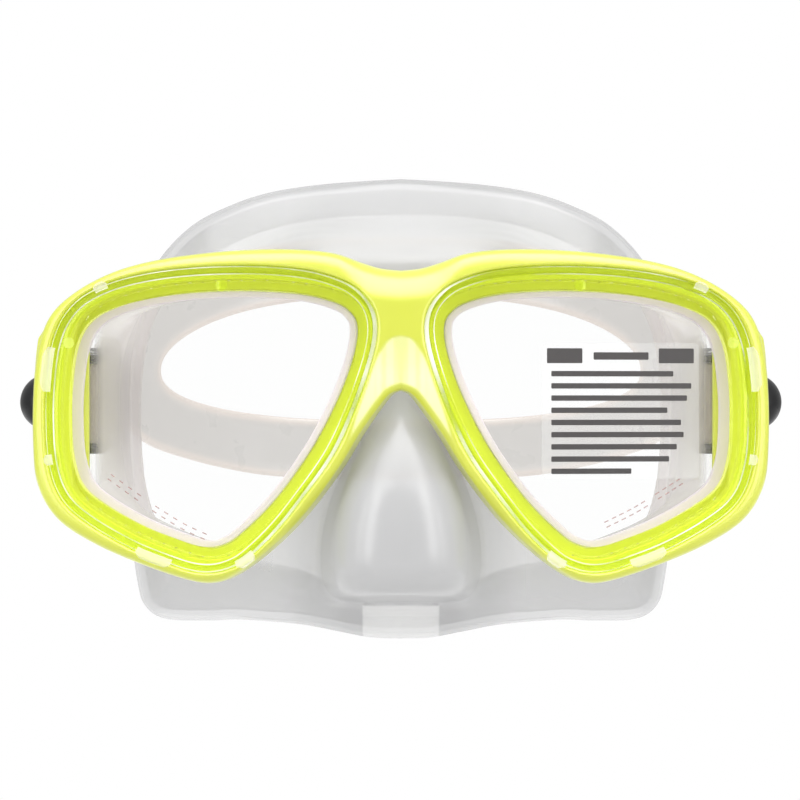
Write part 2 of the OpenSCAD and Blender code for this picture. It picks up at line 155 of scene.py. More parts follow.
def nets(F, origin, h, steps=3):
    """Quads of the zero surface of a grid of distances, negative inside, with vertex normals."""
    h = np.array(h if np.ndim(h) else (h, h, h), float)
    nx, ny, nz = F.shape
    s = F < 0
    offs = [(i, j, k) for i in (0, 1) for j in (0, 1) for k in (0, 1)]
    count = np.zeros((nx - 1, ny - 1, nz - 1), np.uint8)
    for i, j, k in offs:
        count += s[i:nx - 1 + i, j:ny - 1 + j, k:nz - 1 + k]
    mask = (count > 0) & (count < 8)
    idx = np.argwhere(mask)
    corners = np.stack([F[idx[:, 0] + i, idx[:, 1] + j, idx[:, 2] + k] for i, j, k in offs], 1).astype(float)
    acc, cnt = np.zeros((len(idx), 3)), np.zeros(len(idx))
    O = np.array(offs, float)
    for a in range(8):
        for b in range(a + 1, 8):
            if np.abs(O[a] - O[b]).sum() != 1:
                continue
            fa, fb = corners[:, a], corners[:, b]
            m = (fa < 0) != (fb < 0)
            t = fa[m] / (fa[m] - fb[m])
            acc[m] += O[a] + t[:, None] * (O[b] - O[a])
            cnt[m] += 1
    V = idx + acc / cnt[:, None]
    ids = np.full(mask.shape, -1, np.int64)
    ids[mask] = np.arange(len(idx))
    quads = []
    for ax in range(3):
        b, c = (ax + 1) % 3, (ax + 2) % 3
        sl0, sl1 = [slice(1, -1)] * 3, [slice(1, -1)] * 3
        sl0[ax], sl1[ax] = slice(0, -1), slice(1, None)
        s0, s1 = s[tuple(sl0)], s[tuple(sl1)]
        e = np.argwhere(s0 != s1)
        low = s0[tuple(e.T)]
        for q in (b, c):
            e[:, q] += 1
        def cell(db, dc):
            g = e.copy()
            g[:, b] += db
            g[:, c] += dc
            return ids[tuple(g.T)]
        q = np.stack([cell(-1, -1), cell(0, -1), cell(0, 0), cell(-1, 0)], 1)
        q[~low] = q[~low][:, ::-1]
        quads.append(q)
    quads = np.concatenate(quads)
    quads = quads[(quads >= 0).all(1)]
    start = V.copy()
    G = None
    for it in range(steps):
        G = np.stack([(sample(F, V + d) - sample(F, V - d)) / (2 * 0.5 * h[k]) for k, d in enumerate(np.eye(3) * 0.5)], 1)
        g2 = np.maximum((G * G).sum(1), 0.05)
        move = -(sample(F, V) / g2)[:, None] * G / h
        V = start + np.clip(V + move - start, -0.75, 0.75)
    N = G / np.maximum(np.linalg.norm(G, axis=1), 1e-9)[:, None]
    return V * h + np.array(origin, float), quads, N


def relax(V, Q, times=2, lam=0.5):
    """Evens out the vertices by averaging them with their neighbours."""
    for _ in range(times):
        acc, cnt = np.zeros_like(V), np.zeros(len(V))
        for k in range(4):
            a, b = Q[:, k], Q[:, (k + 1) % 4]
            for c in range(3):
                acc[:, c] += np.bincount(a, V[b, c], len(V)) + np.bincount(b, V[a, c], len(V))
            cnt += np.bincount(a, minlength=len(V)) + np.bincount(b, minlength=len(V))
        V = V + lam * (acc / np.maximum(cnt, 1)[:, None] - V)
    return V


# ------------------------------------------------------------------ meshes
def raised(P):
    P = np.asarray(P, float)
    y, z = P[:, 1] - PIVOT[1], P[:, 2] - PIVOT[2]
    ca, sa = math.cos(RISE), math.sin(RISE)
    return np.stack([P[:, 0], PIVOT[1] + y * ca - z * sa, PIVOT[2] + y * sa + z * ca], 1)


def raised_dir(N):
    ca, sa = math.cos(RISE), math.sin(RISE)
    return np.stack([N[:, 0], N[:, 1] * ca - N[:, 2] * sa, N[:, 1] * sa + N[:, 2] * ca], 1)


def on_window(P):
    """Window coordinates (u along the window, v behind its front plane, z) to the row frame, right side."""
    P = np.asarray(P, float)
    return np.stack([P[:, 0] * CC - P[:, 1] * SC, LENS_Y + P[:, 0] * SC + P[:, 1] * CC, P[:, 2]], 1)


def flip_x(V, Q, N=None):
    return V * [-1, 1, 1], [q[::-1] for q in Q] if isinstance(Q, list) else Q[:, ::-1], None if N is None else N * [-1, 1, 1]


def piece(name, V, faces, body, mat, replaces=(), normals=None, smooth=True, sharp=None):
    me = bpy.data.meshes.new(name)
    V = np.asarray(V, float) * 0.001
    if isinstance(faces, np.ndarray):
        me.vertices.add(len(V))
        me.vertices.foreach_set("co", V.ravel().astype(np.float32))
        me.loops.add(faces.size)
        me.loops.foreach_set("vertex_index", faces.ravel().astype(np.int32))
        me.polygons.add(len(faces))
        me.polygons.foreach_set("loop_start", np.arange(0, faces.size, faces.shape[1], dtype=np.int32))
        me.update(calc_edges=True)
    else:
        me.from_pydata(V.tolist(), [], [list(map(int, f)) for f in faces])
        me.update()
    me.validate()
    if smooth:
        me.shade_smooth()
    if sharp is not None:
        me.set_sharp_from_angle(angle=math.radians(sharp))
    if normals is not None:
        me.normals_split_custom_set_from_vertices(np.asarray(normals, float).tolist())
    me.materials.append(mat)
    ob = bpy.data.objects.new(name, me)
    bpy.context.scene.collection.objects.link(ob)
    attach(ob, body)
    if replaces:
        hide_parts(*replaces)
        for n in replaces:
            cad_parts[n].hide_render = True
            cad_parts[n].hide_viewport = True
    return ob


def lathe(profile, n=64, axis="x", centre=(0, 0, 0)):
    """Turns a closed profile of (along, radius) points, anticlockwise with radius up, into quads."""
    p = np.array(profile, float)
    m = len(p)
    a = np.linspace(0, 2 * math.pi, n, endpoint=False)
    r, t = p[:, 1][None, :], p[:, 0][None, :]
    c, s = np.cos(a)[:, None], np.sin(a)[:, None]
    if axis == "x":
        V = np.stack([np.broadcast_to(t, (n, m)), r * c, r * s], -1)
    else:
        V = np.stack([r * c, r * s, np.broadcast_to(t, (n, m))], -1)
    V = V.reshape(-1, 3) + np.array(centre, float)
    i, j = np.meshgrid(np.arange(n), np.arange(m), indexing="ij")
    i, j = i.ravel(), j.ravel()
    i2, j2 = (i + 1) % n, (j + 1) % m
    Q = np.stack([i * m + j, i * m + j2, i2 * m + j2, i2 * m + j], 1)
    return V, Q


def rounded(points, r, n=4):
    """A closed polygon with its corners rounded. r is one radius or one a corner."""
    p = np.array(points, float)
    m = len(p)
    rs = [r] * m if np.ndim(r) == 0 else list(r)
    out = []
    for i in range(m):
        a, b, c = p[i - 1], p[i], p[(i + 1) % m]
        u, v = a - b, c - b
        lu, lv = np.linalg.norm(u), np.linalg.norm(v)
        u, v = u / lu, v / lv
        ang = math.acos(np.clip(u @ v, -1, 1))
        d = min(rs[i] / max(math.tan(ang / 2), 1e-6), lu * 0.48, lv * 0.48)
        if rs[i] <= 0 or d < 1e-4:
            out.append(b)
            continue
        for k in range(n + 1):
            t = k / n
            out.append((1 - t) ** 2 * (b + u * d) + 2 * t * (1 - t) * b + t * t * (b + v * d))
    return np.array(out)


def closed_sweep(base, nrm, prof):
    """prof(i) gives the (n, v) profile at station i; base and nrm are the window's edge and its outward direction."""
    m = len(base)
    rows = [prof(i) for i in range(m)]
    k = len(rows[0])
    P = np.array([[(*(base[i] + nrm[i] * q[0]), q[1]) for q in rows[i]] for i in range(m)], float).reshape(-1, 3)
    V = on_window(np.stack([P[:, 0], P[:, 2], P[:, 1]], 1))
    i, j = np.meshgrid(np.arange(m), np.arange(k), indexing="ij")
    i, j = i.ravel(), j.ravel()
    i2, j2 = (i + 1) % m, (j + 1) % k
    Q = np.stack([i * k + j, i * k + j2, i2 * k + j2, i2 * k + j], 1)
    return V, Q


# ------------------------------------------------------------------ materials
def node_material(name):
    m = bpy.data.materials.new(name)
    m.use_nodes = True
    nt = m.node_tree
    for n in list(nt.nodes):
        nt.nodes.remove(n)
    out = nt.nodes.new("ShaderNodeOutputMaterial")
    return m, nt, out


def principled(nt, color, rough, **kw):
    b = nt.nodes.new("ShaderNodeBsdfPrincipled")
    b.inputs["Base Color"].default_value = (*color, 1)
    b.inputs["Roughness"].default_value = rough
    for k, v in kw.items():
        b.inputs[k.replace("_", " ")].default_value = v
    return b


def noise(nt, scale, detail=2.0):
    tc = nt.nodes.new("ShaderNodeTexCoord")
    n = nt.nodes.new("ShaderNodeTexNoise")
    n.inputs["Scale"].default_value = scale
    n.inputs["Detail"].default_value = detail
    nt.links.new(tc.outputs["Object"], n.inputs["Vector"])
    return n


def ramp(nt, src, a, b):
    r = nt.nodes.new("ShaderNodeMapRange")
    r.inputs["To Min"].default_value = a
    r.inputs["To Max"].default_value = b
    nt.links.new(src, r.inputs["Value"])
    return r.outputs[0]


def bump(nt, src, strength, dist):
    b = nt.nodes.new("ShaderNodeBump")
    b.inputs["Strength"].default_value = strength
    b.inputs["Distance"].default_value = dist
    nt.links.new(src, b.inputs["Height"])
    return b.outputs[0]


def mix(nt, fac, a, b):
    m = nt.nodes.new("ShaderNodeMixShader")
    if hasattr(fac, "is_linked"):
        nt.links.new(fac, m.inputs[0])
    else:
        m.inputs[0].default_value = fac
    nt.links.new(a, m.inputs[1])
    nt.links.new(b, m.inputs[2])
    return m.outputs[0]


def transparent(nt, color):
    t = nt.nodes.new("ShaderNodeBsdfTransparent")
    t.inputs[0].default_value = (*color, 1)
    return t.outputs[0]


def mat_yellow():
    m, nt, out = node_material("lime_yellow_plastic")
    b = principled(nt, (0.64, 0.69, 0.05), 0.3, IOR=1.5)
    b.inputs["Coat Weight"].default_value = 0.7
    b.inputs["Coat Roughness"].default_value = 0.28
    b.inputs["Subsurface Weight"].default_value = 0.1
    b.inputs["Subsurface Radius"].default_value = (1.0, 1.0, 0.2)
    b.inputs["Subsurface Scale"].default_value = 0.0015
    # painted highlight: the facet over the nose arch is mixed towards a pale colour by the attribute below, standing in
    # for its reflections
    at = nt.nodes.new("ShaderNodeAttribute")
    at.attribute_name = "painted_highlight"
    n0 = noise(nt, 30, 2)
    var = nt.nodes.new("ShaderNodeMix")
    var.data_type = "RGBA"
    nt.links.new(n0.outputs[0], var.inputs["Factor"])
    var.inputs["A"].default_value = (0.62, 0.68, 0.045, 1)
    var.inputs["B"].default_value = (0.67, 0.71, 0.06, 1)
    c = nt.nodes.new("ShaderNodeMix")
    c.data_type = "RGBA"
    nt.links.new(at.outputs["Fac"], c.inputs["Factor"])
    nt.links.new(var.outputs["Result"], c.inputs["A"])
    c.inputs["B"].default_value = (0.98, 0.99, 0.46, 1)
    # painted bounce light: diffuse rays see the frame in a paler, less yellow colour, so the light it throws onto the
    # silicone is painted paler than the frame itself
    lp = nt.nodes.new("ShaderNodeLightPath")
    painted_bounce = nt.nodes.new("ShaderNodeMix")
    painted_bounce.data_type = "RGBA"
    nt.links.new(lp.outputs["Is Diffuse Ray"], painted_bounce.inputs["Factor"])
    nt.links.new(c.outputs["Result"], painted_bounce.inputs["A"])
    painted_bounce.inputs["B"].default_value = (0.80, 0.82, 0.42, 1)
    nt.links.new(painted_bounce.outputs["Result"], b.inputs["Base Color"])
    n = noise(nt, 260)
    nt.links.new(ramp(nt, n.outputs[0], 0.26, 0.36), b.inputs["Roughness"])
    nt.links.new(b.outputs[0], out.inputs[0])
    return m


def see_through(nt, out, haze_and_painted_light, tint, color, rough, ior, gloss_rough):
    """Clear plastic or glass: what is behind it, a little haze that on the plastic parts also carries painted light,
    and mirror reflections by Fresnel.
    """
    d = principled(nt, color, rough, IOR=1.3)
    d.inputs["Specular IOR Level"].default_value = 0.0
    base = mix(nt, haze_and_painted_light, transparent(nt, tint), d.outputs[0])
    g = principled(nt, (0.97, 0.98, 0.97), gloss_rough, Metallic=1.0)
    n = noise(nt, 120, 3)
    nt.links.new(ramp(nt, n.outputs[0], gloss_rough * 0.6, gloss_rough * 1.4), g.inputs["Roughness"])
    s = mix(nt, outside_fresnel(nt, ior), base, g.outputs[0])
    lp = nt.nodes.new("ShaderNodeLightPath")
    nt.links.new(mix(nt, lp.outputs["Is Shadow Ray"], s, transparent(nt, (0.97, 0.98, 0.96))), out.inputs[0])


def outside_fresnel(nt, ior):
    f = nt.nodes.new("ShaderNodeFresnel")
    f.inputs["IOR"].default_value = ior
    ge = nt.nodes.new("ShaderNodeNewGeometry")
    inv = nt.nodes.new("ShaderNodeMath")
    inv.operation = "SUBTRACT"
    inv.inputs[0].default_value = 1.0
    nt.links.new(ge.outputs["Backfacing"], inv.inputs[1])
    m = nt.nodes.new("ShaderNodeMath")
    m.operation = "MULTIPLY"
    nt.links.new(f.outputs[0], m.inputs[0])
    nt.links.new(inv.outputs[0], m.inputs[1])
    return m.outputs[0]


# painted light: the ring's lime haze colour lightens the yellow shelf seen through the ring, standing in for light in
# the shaded pocket
def mat_clear(name="clear_polycarbonate", haze_and_painted_light=0.13, tint=(0.965, 1.0, 0.66), color=(0.93, 1.0, 0.12), highlight_streaks=False):
    m, nt, out = node_material(name)
    fac = haze_and_painted_light
    if highlight_streaks:  # painted highlight: the polished edge is painted white in stretches, standing in for light sent on along the moulding
        n = noise(nt, 55, 2)
        fac = ramp(nt, n.outputs[0], -0.9, 1.9)
    see_through(nt, out, fac, tint, color, 0.4, 1.5, 0.05)
    return m


def mat_glass():
    m, nt, out = node_material("tempered_glass")
    see_through(nt, out, 0.004, (0.998, 1.0, 0.999), (0.9, 0.9, 0.9), 0.3, 1.28, 0.01)
    return m


def zone(nt, src, lo, hi, a0, b0):
    mr = nt.nodes.new("ShaderNodeMapRange")
    mr.interpolation_type = "SMOOTHSTEP"
    for k, v in (("From Min", lo), ("From Max", hi), ("To Min", a0), ("To Max", b0)):
        mr.inputs[k].default_value = v
    nt.links.new(src, mr.inputs["Value"])
    return mr.outputs[0]


def times(nt, a, b):
    q = nt.nodes.new("ShaderNodeMath")
    q.operation = "MULTIPLY"
    nt.links.new(a, q.inputs[0])
    nt.links.new(b, q.inputs[1])
    return q.outputs[0]


def color_mix(nt, fac, a, b):
    c = nt.nodes.new("ShaderNodeMix")
    c.data_type = "RGBA"
    nt.links.new(fac, c.inputs["Factor"])
    c.inputs["A"].default_value = (*a, 1)
    c.inputs["B"].default_value = (*b, 1)
    return c.outputs["Result"]


def mat_silicone(name, color, body, edge, rough=0.18, ior=1.41, power=2.2, zoned=None, scatter=1.0, rim=None, through=0.5):
    """Milky translucent silicone: denser where it is seen edge-on, lit from both sides, with a soft gloss over it."""
    m, nt, out = node_material(name)
    b = principled(nt, color, 0.6, IOR=1.3)
    b.inputs["Specular IOR Level"].default_value = 0.0
    tl = nt.nodes.new("ShaderNodeBsdfTranslucent")
    tl.inputs[0].default_value = (*color, 1)
    tc = nt.nodes.new("ShaderNodeTexCoord")
    sp = nt.nodes.new("ShaderNodeSeparateXYZ")
    nt.links.new(tc.outputs["Object"], sp.inputs[0])
    ab = nt.nodes.new("ShaderNodeMath")
    ab.operation = "ABSOLUTE"
    nt.links.new(sp.outputs["X"], ab.inputs[0])
    tint = None
    if zoned:
        # painted shade: the forehead, from z 28 mm up and fully above 40 mm, is painted darker where more light falls
        # on it from above
        tint = color_mix(nt, zone(nt, sp.outputs["Z"], 0.028, 0.040, 0, 1), color, zoned)
        # painted light and shade: the temple walls beside the buckle are painted lighter where they lie in shade, the
        # nose core below the frame is painted darker, and the raised pads below the nose are painted lighter
        for lo, hi, c in ((0.046, 0.058, (0.93, 0.89, 0.88)), (0.017, 0.011, (0.66, 0.66, 0.668)), (0.0092, 0.0086, (0.93, 0.93, 0.93))):
            cm = nt.nodes.new("ShaderNodeMix")
            cm.data_type = "RGBA"
            side_fac = zone(nt, ab.outputs[0], min(lo, hi), max(lo, hi), 0.0 if hi > lo else 1.0, 1.0 if hi > lo else 0.0)
            low_part = zone(nt, sp.outputs["Z"], 0.020, 0.032, 1.0, 0.0)
            if hi > lo:
                low_part = times(nt, low_part, zone(nt, sp.outputs["Z"], -0.036, -0.026, 0.0, 1.0))
            elif lo < 0.01:  # the raised pads below the nose
                low_part = zone(nt, sp.outputs["Z"], -0.0479, -0.0473, 1.0, 0.0)
            else:
                low_part = zone(nt, sp.outputs["Z"], -0.022, -0.008, 1.0, 0.0)
            nt.links.new(times(nt, side_fac, low_part), cm.inputs["Factor"])
            nt.links.new(tint, cm.inputs["A"])
            cm.inputs["B"].default_value = (*c, 1)
            tint = cm.outputs["Result"]
    elif rim:  # beaded edges are paler, and the strap's loop round the roller is painted paler as painted light where it lies in shade
        at = nt.nodes.new("ShaderNodeAttribute")
        at.attribute_name = "rim"
        tint = color_mix(nt, at.outputs["Fac"], color, rim)
    if tint is not None:
        nt.links.new(tint, b.inputs["Base Color"])
        nt.links.new(tint, tl.inputs[0])
    body_light = mix(nt, through, b.outputs[0], tl.outputs[0])
    lw = nt.nodes.new("ShaderNodeLayerWeight")
    lw.inputs["Blend"].default_value = 0.5
    p = nt.nodes.new("ShaderNodeMath")
    p.operation = "POWER"
    p.inputs[1].default_value = power
    nt.links.new(lw.outputs["Facing"], p.inputs[0])
    n = noise(nt, 14, 2)
    thick = times(nt, ramp(nt, p.outputs[0], body, edge), ramp(nt, n.outputs[0], 0.94, 1.06))
    if zoned:  # thin at the front of the temple walls, denser behind, thickest in the nose pocket
        for z in ((ab.outputs[0], 0.054, 0.064, 1.0, 1.75), (ab.outputs[0], 0.0688, 0.0712, 1.0, 0.15), (ab.outputs[0], 0.018, 0.030, 1.6, 1.0)):
            thick = times(nt, thick, zone(nt, *z))
        side = times(nt, zone(nt, ab.outputs[0], 0.018, 0.030, 0.0, 1.0), zone(nt, sp.outputs["Z"], 0.027, 0.033, 0.0, 1.0))
        thick = times(nt, thick, ramp(nt, side, 1.0, 1.25))  # forehead, left and right of the middle
    if scatter < 1:  # part of the light is absorbed, part scattered
        body_light = mix(nt, scatter, transparent(nt, (0, 0, 0)), body_light)
    base = mix(nt, thick, transparent(nt, (1, 1, 1)), body_light)
    g = principled(nt, (1.0, 1.0, 1.0), rough, Metallic=1.0)
    n2 = noise(nt, 110, 3)
    nt.links.new(ramp(nt, n2.outputs[0], rough * 0.8, rough * 1.25), g.inputs["Roughness"])
    lim = nt.nodes.new("ShaderNodeMath")
    lim.operation = "MINIMUM"
    lim.inputs[1].default_value = 0.22
    nt.links.new(outside_fresnel(nt, ior), lim.inputs[0])
    nt.links.new(mix(nt, lim.outputs[0], base, g.outputs[0]), out.inputs[0])
    return m


def mat_black(name="black_acetal", rough=0.28, color=(0.012, 0.012, 0.013)):
    m, nt, out = node_material(name)
    b = principled(nt, color, rough, IOR=1.48)
    b.inputs["Specular IOR Level"].default_value = 0.2
    n = noise(nt, 900, 3)
    nt.links.new(ramp(nt, n.outputs[0], rough * 0.8, rough * 1.3), b.inputs["Roughness"])
    nt.links.new(bump(nt, n.outputs[0], 0.12, 0.0001), b.inputs["Normal"])
    nt.links.new(b.outputs[0], out.inputs[0])
    return m


def mat_steel():
    m, nt, out = node_material("stainless_steel")
    b = principled(nt, (0.66, 0.67, 0.69), 0.28, Metallic=1.0)
    n = noise(nt, 1400, 2)
    nt.links.new(ramp(nt, n.outputs[0], 0.2, 0.36), b.inputs["Roughness"])
    nt.links.new(b.outputs[0], out.inputs[0])
    return m


def mat_film(name, color, alpha, rough=0.35):
    m, nt, out = node_material(name)
    b = principled(nt, color, rough, IOR=1.45)
    n = noise(nt, 400)
    nt.links.new(ramp(nt, n.outputs[0], rough * 0.8, rough * 1.2), b.inputs["Roughness"])
    s = mix(nt, alpha, transparent(nt, (1, 1, 1)), b.outputs[0])
    nt.links.new(s, out.inputs[0])
    return m


M_YELLOW = mat_yellow()
M_CLEAR = mat_clear()
M_GLASS = mat_glass()
M_PEG = mat_clear("clear_peg", 0.3, (0.98, 0.99, 0.85), (0.95, 0.98, 0.62))
# painted highlight: white lines painted on the ring's outer bevel and inner lip
M_EDGE_HIGHLIGHT = mat_clear("clear_edge_painted_highlight", 0.5, (0.985, 0.99, 0.85), (0.97, 0.96, 0.92), highlight_streaks=True)
# painted highlight: the tabs' whitish haze stands in for the highlights on them
M_TAB_HIGHLIGHT = mat_clear("clear_tab_painted_highlight", 0.34, (0.985, 0.985, 0.93), (0.96, 0.93, 0.92))
# the skirt's forehead colour and the tones inside the material are painted light and shade
M_SKIRT = mat_silicone("clear_silicone", (0.72, 0.72, 0.728), 0.34, 0.54, 0.24, zoned=(0.65, 0.65, 0.657), scatter=0.93)
M_SEAL = mat_silicone("clear_silicone_rim", (0.99, 0.92, 1.0), 0.88, 0.92, 0.25, through=0.3)
# the rim colour also paints the strap's loop round the roller paler: painted light where it lies in shade
M_STRAP = mat_silicone("strap_silicone", (0.70, 0.68, 0.66), 0.62, 0.8, 0.28, rim=(0.84, 0.77, 0.72), through=0.45)
M_KEEPER = mat_silicone("keeper_silicone", (0.72, 0.70, 0.69), 0.62, 0.82, 0.3, through=0.45)
M_BLACK = mat_black()
M_ROLLER = mat_black("natural_acetal", 0.4, (0.78, 0.78, 0.74))
M_STEEL = mat_steel()
M_FILM = mat_film("label_film", (0.9, 0.9, 0.9), 0.12)
M_MARK = mat_film("etched_mark", (0.50, 0.30, 0.28), 0.55, 0.5)
M_INK = mat_film("label_ink", (0.045, 0.04, 0.04), 0.93, 0.5)

# ------------------------------------------------------------------ shared outlines
window = closed_curve(WINDOW, 12)
window_even = arc_even(window, 300)
win_n = outward(window_even)
frame_half = np.concatenate([[[-14, 29.4]], open_curve(FRAME, 8), [[-14, 2.3]]])
skirt_poly = mirrored(open_curve(SKIRT, 8))
lip_poly = mirrored(open_curve(LIP, 8))
SEAT = 5.2
INNER = 1.5  # the frame's shelf reaches this much further in beside the bridge
_o = open_curve(FRAME, 8)
_o = _o[(_o[:, 0] > 60)]
_i = np.argsort(_o[:, 1])
FR_Z, FR_X = _o[_i, 1], _o[_i, 0] * 0.990

TABS = [(14.5, 9.0, 1.4), (-71.5, 8.5, 1.2), (-103.0, 3.2, 1.3), (-19.0, 2.4, 0.9), (46.0, 3.0, 0.9)]  # angle, half length, reach of the snap tabs


def ring_width(u, z):
    """Width of the clear retainer: narrower beside the bridge and along the lower inner edge."""
    a = np.arctan2(z + 2, u - 45)  # seen from the middle of the window
    off = lambda c: np.abs(np.angle(np.exp(1j * (a - math.radians(c)))))
    w = 5.75 - 1.15 * np.exp(-(off(165) / 0.42) ** 2) - 0.7 * np.exp(-(off(222) / 0.45) ** 2)
    return w


def open_sweep(idx, prof):
    """Like closed_sweep over a run of stations, with capped ends."""
    rows = [prof(i, k / (len(idx) - 1)) for k, i in enumerate(idx)]
    k = len(rows[0])
    P = np.array([[(*(window_even[i] + win_n[i] * q[0]), q[1]) for q in r] for i, r in zip(idx, rows)], float).reshape(-1, 3)
    V = on_window(np.stack([P[:, 0], P[:, 2], P[:, 1]], 1))
    m = len(idx)
    F = [[i * k + j, i * k + (j + 1) % k, (i + 1) * k + (j + 1) % k, (i + 1) * k + j] for i in range(m - 1) for j in range(k)]
    return V, F + [list(range(k))[::-1], list(range((m - 1) * k, m * k))]


# ------------------------------------------------------------------ yellow frame
FACET = np.concatenate([open_curve([[0, 14.6], [2.2, 14.0], [4.0, 12.0], [5.9, 8.6], [7.7, 3.4], [9.7, -2.3], [11.7, -9], [13.2, -14.5]], 6), [[13, -22], [0, -22]]])
FACET = mirrored(FACET)


def make_frame():
    h = 0.42 * K
    xs = np.arange(0, 88.5, h)
    ys = np.arange(-62, -11.5, h)
    zs = np.arange(-44, 37, h)
    du = 0.4
    us = np.arange(-18, 96, du)
    UU, ZZ = np.meshgrid(us, zs, indexing="ij")
    Do, Dw = poly_sdf(frame_half, UU, ZZ), poly_sdf(window, UU, ZZ)
    Dn = Dw + INNER * np.clip(-np.gradient(Dw, du, axis=0), 0, 1)
    Wr = ring_width(UU, ZZ)
    # facet over the nose arch, and the soft bevel along the top of the bridge
    Dfac = poly_sdf(FACET, UU, ZZ)
    low = -Dfac
    for _ in range(3):  # no crease along the middle
        low = (np.roll(low, 1, 0) + 2 * low + np.roll(low, -1, 0)) / 4
    R1 = np.maximum(low, 0) * 0.45
    top = np.maximum((7.6 - 2.8 * step(4, 26, np.abs(UU))) * step(16, 22, ZZ) + Do, 0) * step(18, 20, ZZ)
    R2 = 0.95 * top * top / (top + 6.0) * step(64, 20, UU) * (1 - 0.6 * step(7, 14, np.abs(UU)) + 0.25 * step(22, 32, np.abs(UU)))
    Rec = np.maximum(R1, R2)

    def lift(D, U):
        t = (U - us[0]) / du
        i = np.clip(t.astype(int), 0, len(us) - 2)
        f = (t - i)[..., None].astype(np.float32)
        D = D.astype(np.float32)
        return D[i] * (1 - f) + D[i + 1] * f

    X, Y = np.meshgrid(xs, ys, indexing="ij")

    def side(sx):
        U = (sx * X) * CC + (Y - LENS_Y) * SC
        Vv = (-(sx * X) * SC + (Y - LENS_Y) * CC)[..., None].astype(np.float32)
        return U, Vv

    U, V = side(1)
    dO, dW, rec, wr, dN = lift(Do, U), lift(Dw, U), lift(Rec, U), lift(Wr, U), lift(Dn, U)
    front = -3.9 - V
    nb = int(24 / h)
    V2 = (X[:nb] * SC + (Y[:nb] - LENS_Y) * CC)[..., None].astype(np.float32)
    front[:nb] = smax(front[:nb], -3.9 - V2, 3.2)  # the two front planes meet in one round at the bridge
    zc = zs[None, None].astype(np.float32)
    crisp = 3.4 - 1.7 * step(22, 14, np.abs(X))[..., None].astype(np.float32) * step(9, 3, zc)  # a tighter edge along the arch
    F = smax(smax(dO, front + rec, crisp), V - 7.2, 1.6)
    # pocket for the retainer, seat for the glass and skirt, and the opening
    pk = np.maximum(dW - (wr + 0.14), V + 0.4)
    pk = np.minimum(pk, np.maximum(dW - 2.85, V - SEAT))
    pk = np.minimum(pk, np.maximum(dN - 0.55, U[..., None] - TEMPLE_U))
    pk = np.minimum(pk, np.maximum(np.abs(dW - (wr - 0.65)) - 0.8, V - 0.6))
    F = smax(F, -pk, 0.7)
    # rear of the rim: a shallow relief that leaves a wall round the outside
    rear = np.maximum(np.maximum(dO + 2.2, -(dW - 2.6)), -(V - 5.6))
    F = smax(F, -rear, 0.6)
    # ear that carries the buckle
    ear = np.concatenate([[[-45, 15.5], [-37, 15], [-30, 11]],
                          [[PIVOT[1] + 8 * math.cos(math.radians(a)), PIVOT[2] + 8 * math.sin(math.radians(a))] for a in range(60, -61, -6)],
                          [[-30, -12], [-37, -17], [-45, -19]]])
    YY, Z2 = np.meshgrid(ys, zs, indexing="ij")
    dE = poly_sdf(ear, YY, Z2)[None].astype(np.float32)
    x3 = xs[:, None, None].astype(np.float32)
    edge = np.interp(zs, FR_Z, FR_X).astype(np.float32)[None, None] - 0.5
    disc = np.sqrt((Y - PIVOT[1])[..., None] ** 2 + (zs - PIVOT[2])[None, None] ** 2) - 6.6
    fe = smax(dE, np.abs(x3 - 83.1) - 1.6, 1.4)
    fe = smin(smax(fe, x3 - edge, 1.5), smax(disc, np.abs(x3 - 83.1) - 1.6, 0.6), 1.2)
    dR = poly_sdf([[-46, 14.5], [-36.5, 13.5], [-35, 9], [-35, -10], [-36.5, -15], [-46, -17]], YY, Z2)[None].astype(np.float32)
    fr = smax(dR, np.abs(x3 - 80.2) - 3.0, 0.8)
    fe = smin(fe, fr, 1.6)
    # the web keeps out of the retainer's pocket
    fe = smax(fe, -(V - 3.6), 0.6)
    F = smax(smin(F, fe, 4.5), x3 - 84.72, 0.8)
    bore = np.sqrt((Y - PIVOT[1])[..., None] ** 2 + (zs - PIVOT[2])[None, None] ** 2)
    F = np.where(x3 > 76, np.maximum(F, 3.1 - bore), F)
    full = np.concatenate([F[:0:-1], F]).astype(np.float32)
    V_, Q, N = nets(full, (-xs[-1], ys[0], zs[0]), h)
    ob = piece("frame_moulding", V_, Q, "mask", M_YELLOW, ["frame"], N)
    # painted highlight: the facet over the nose arch is painted paler, in soft upright streaks standing in for its
    # reflections, with a full-coloured edge along the arch
    ax = np.abs(V_[:, 0])
    near = (ax < 22) & (V_[:, 2] < 18) & (V_[:, 2] > -24)
    painted_highlight = np.zeros(len(V_), np.float32)
    vi = np.where(near)[0]
    d1 = poly_sdf(FACET, ax[vi], V_[vi, 2])
    d2 = poly_sdf(frame_half, ax[vi], V_[vi, 2])
    vv = -(ax[vi] * SC) + (V_[vi, 1] - LENS_Y) * CC
    m = step(0.15, -0.55, d1) * step(-1.15, -1.9, d2) * step(3.4, 1.6, vv - 2.0)
    x = V_[vi, 0]
    q = np.abs(x)
    highlight_streak = 0.70 + 0.30 * step(1.3, 1.9, q) - 0.32 * step(3.0, 3.5, q) * step(4.6, 4.2, q) - 0.14 * np.exp(-((q - 5.8) / 0.3) ** 2) + 0.1 * step(6.5, 9, q)
    highlight_streak = np.clip(highlight_streak, 0, 1) * (0.8 + 0.2 * step(-12, 6, V_[vi, 2]))
    painted_highlight[vi] = m * highlight_streak
    at = ob.data.attributes.new("painted_highlight", "FLOAT", "POINT")
    at.data.foreach_set("value", painted_highlight)


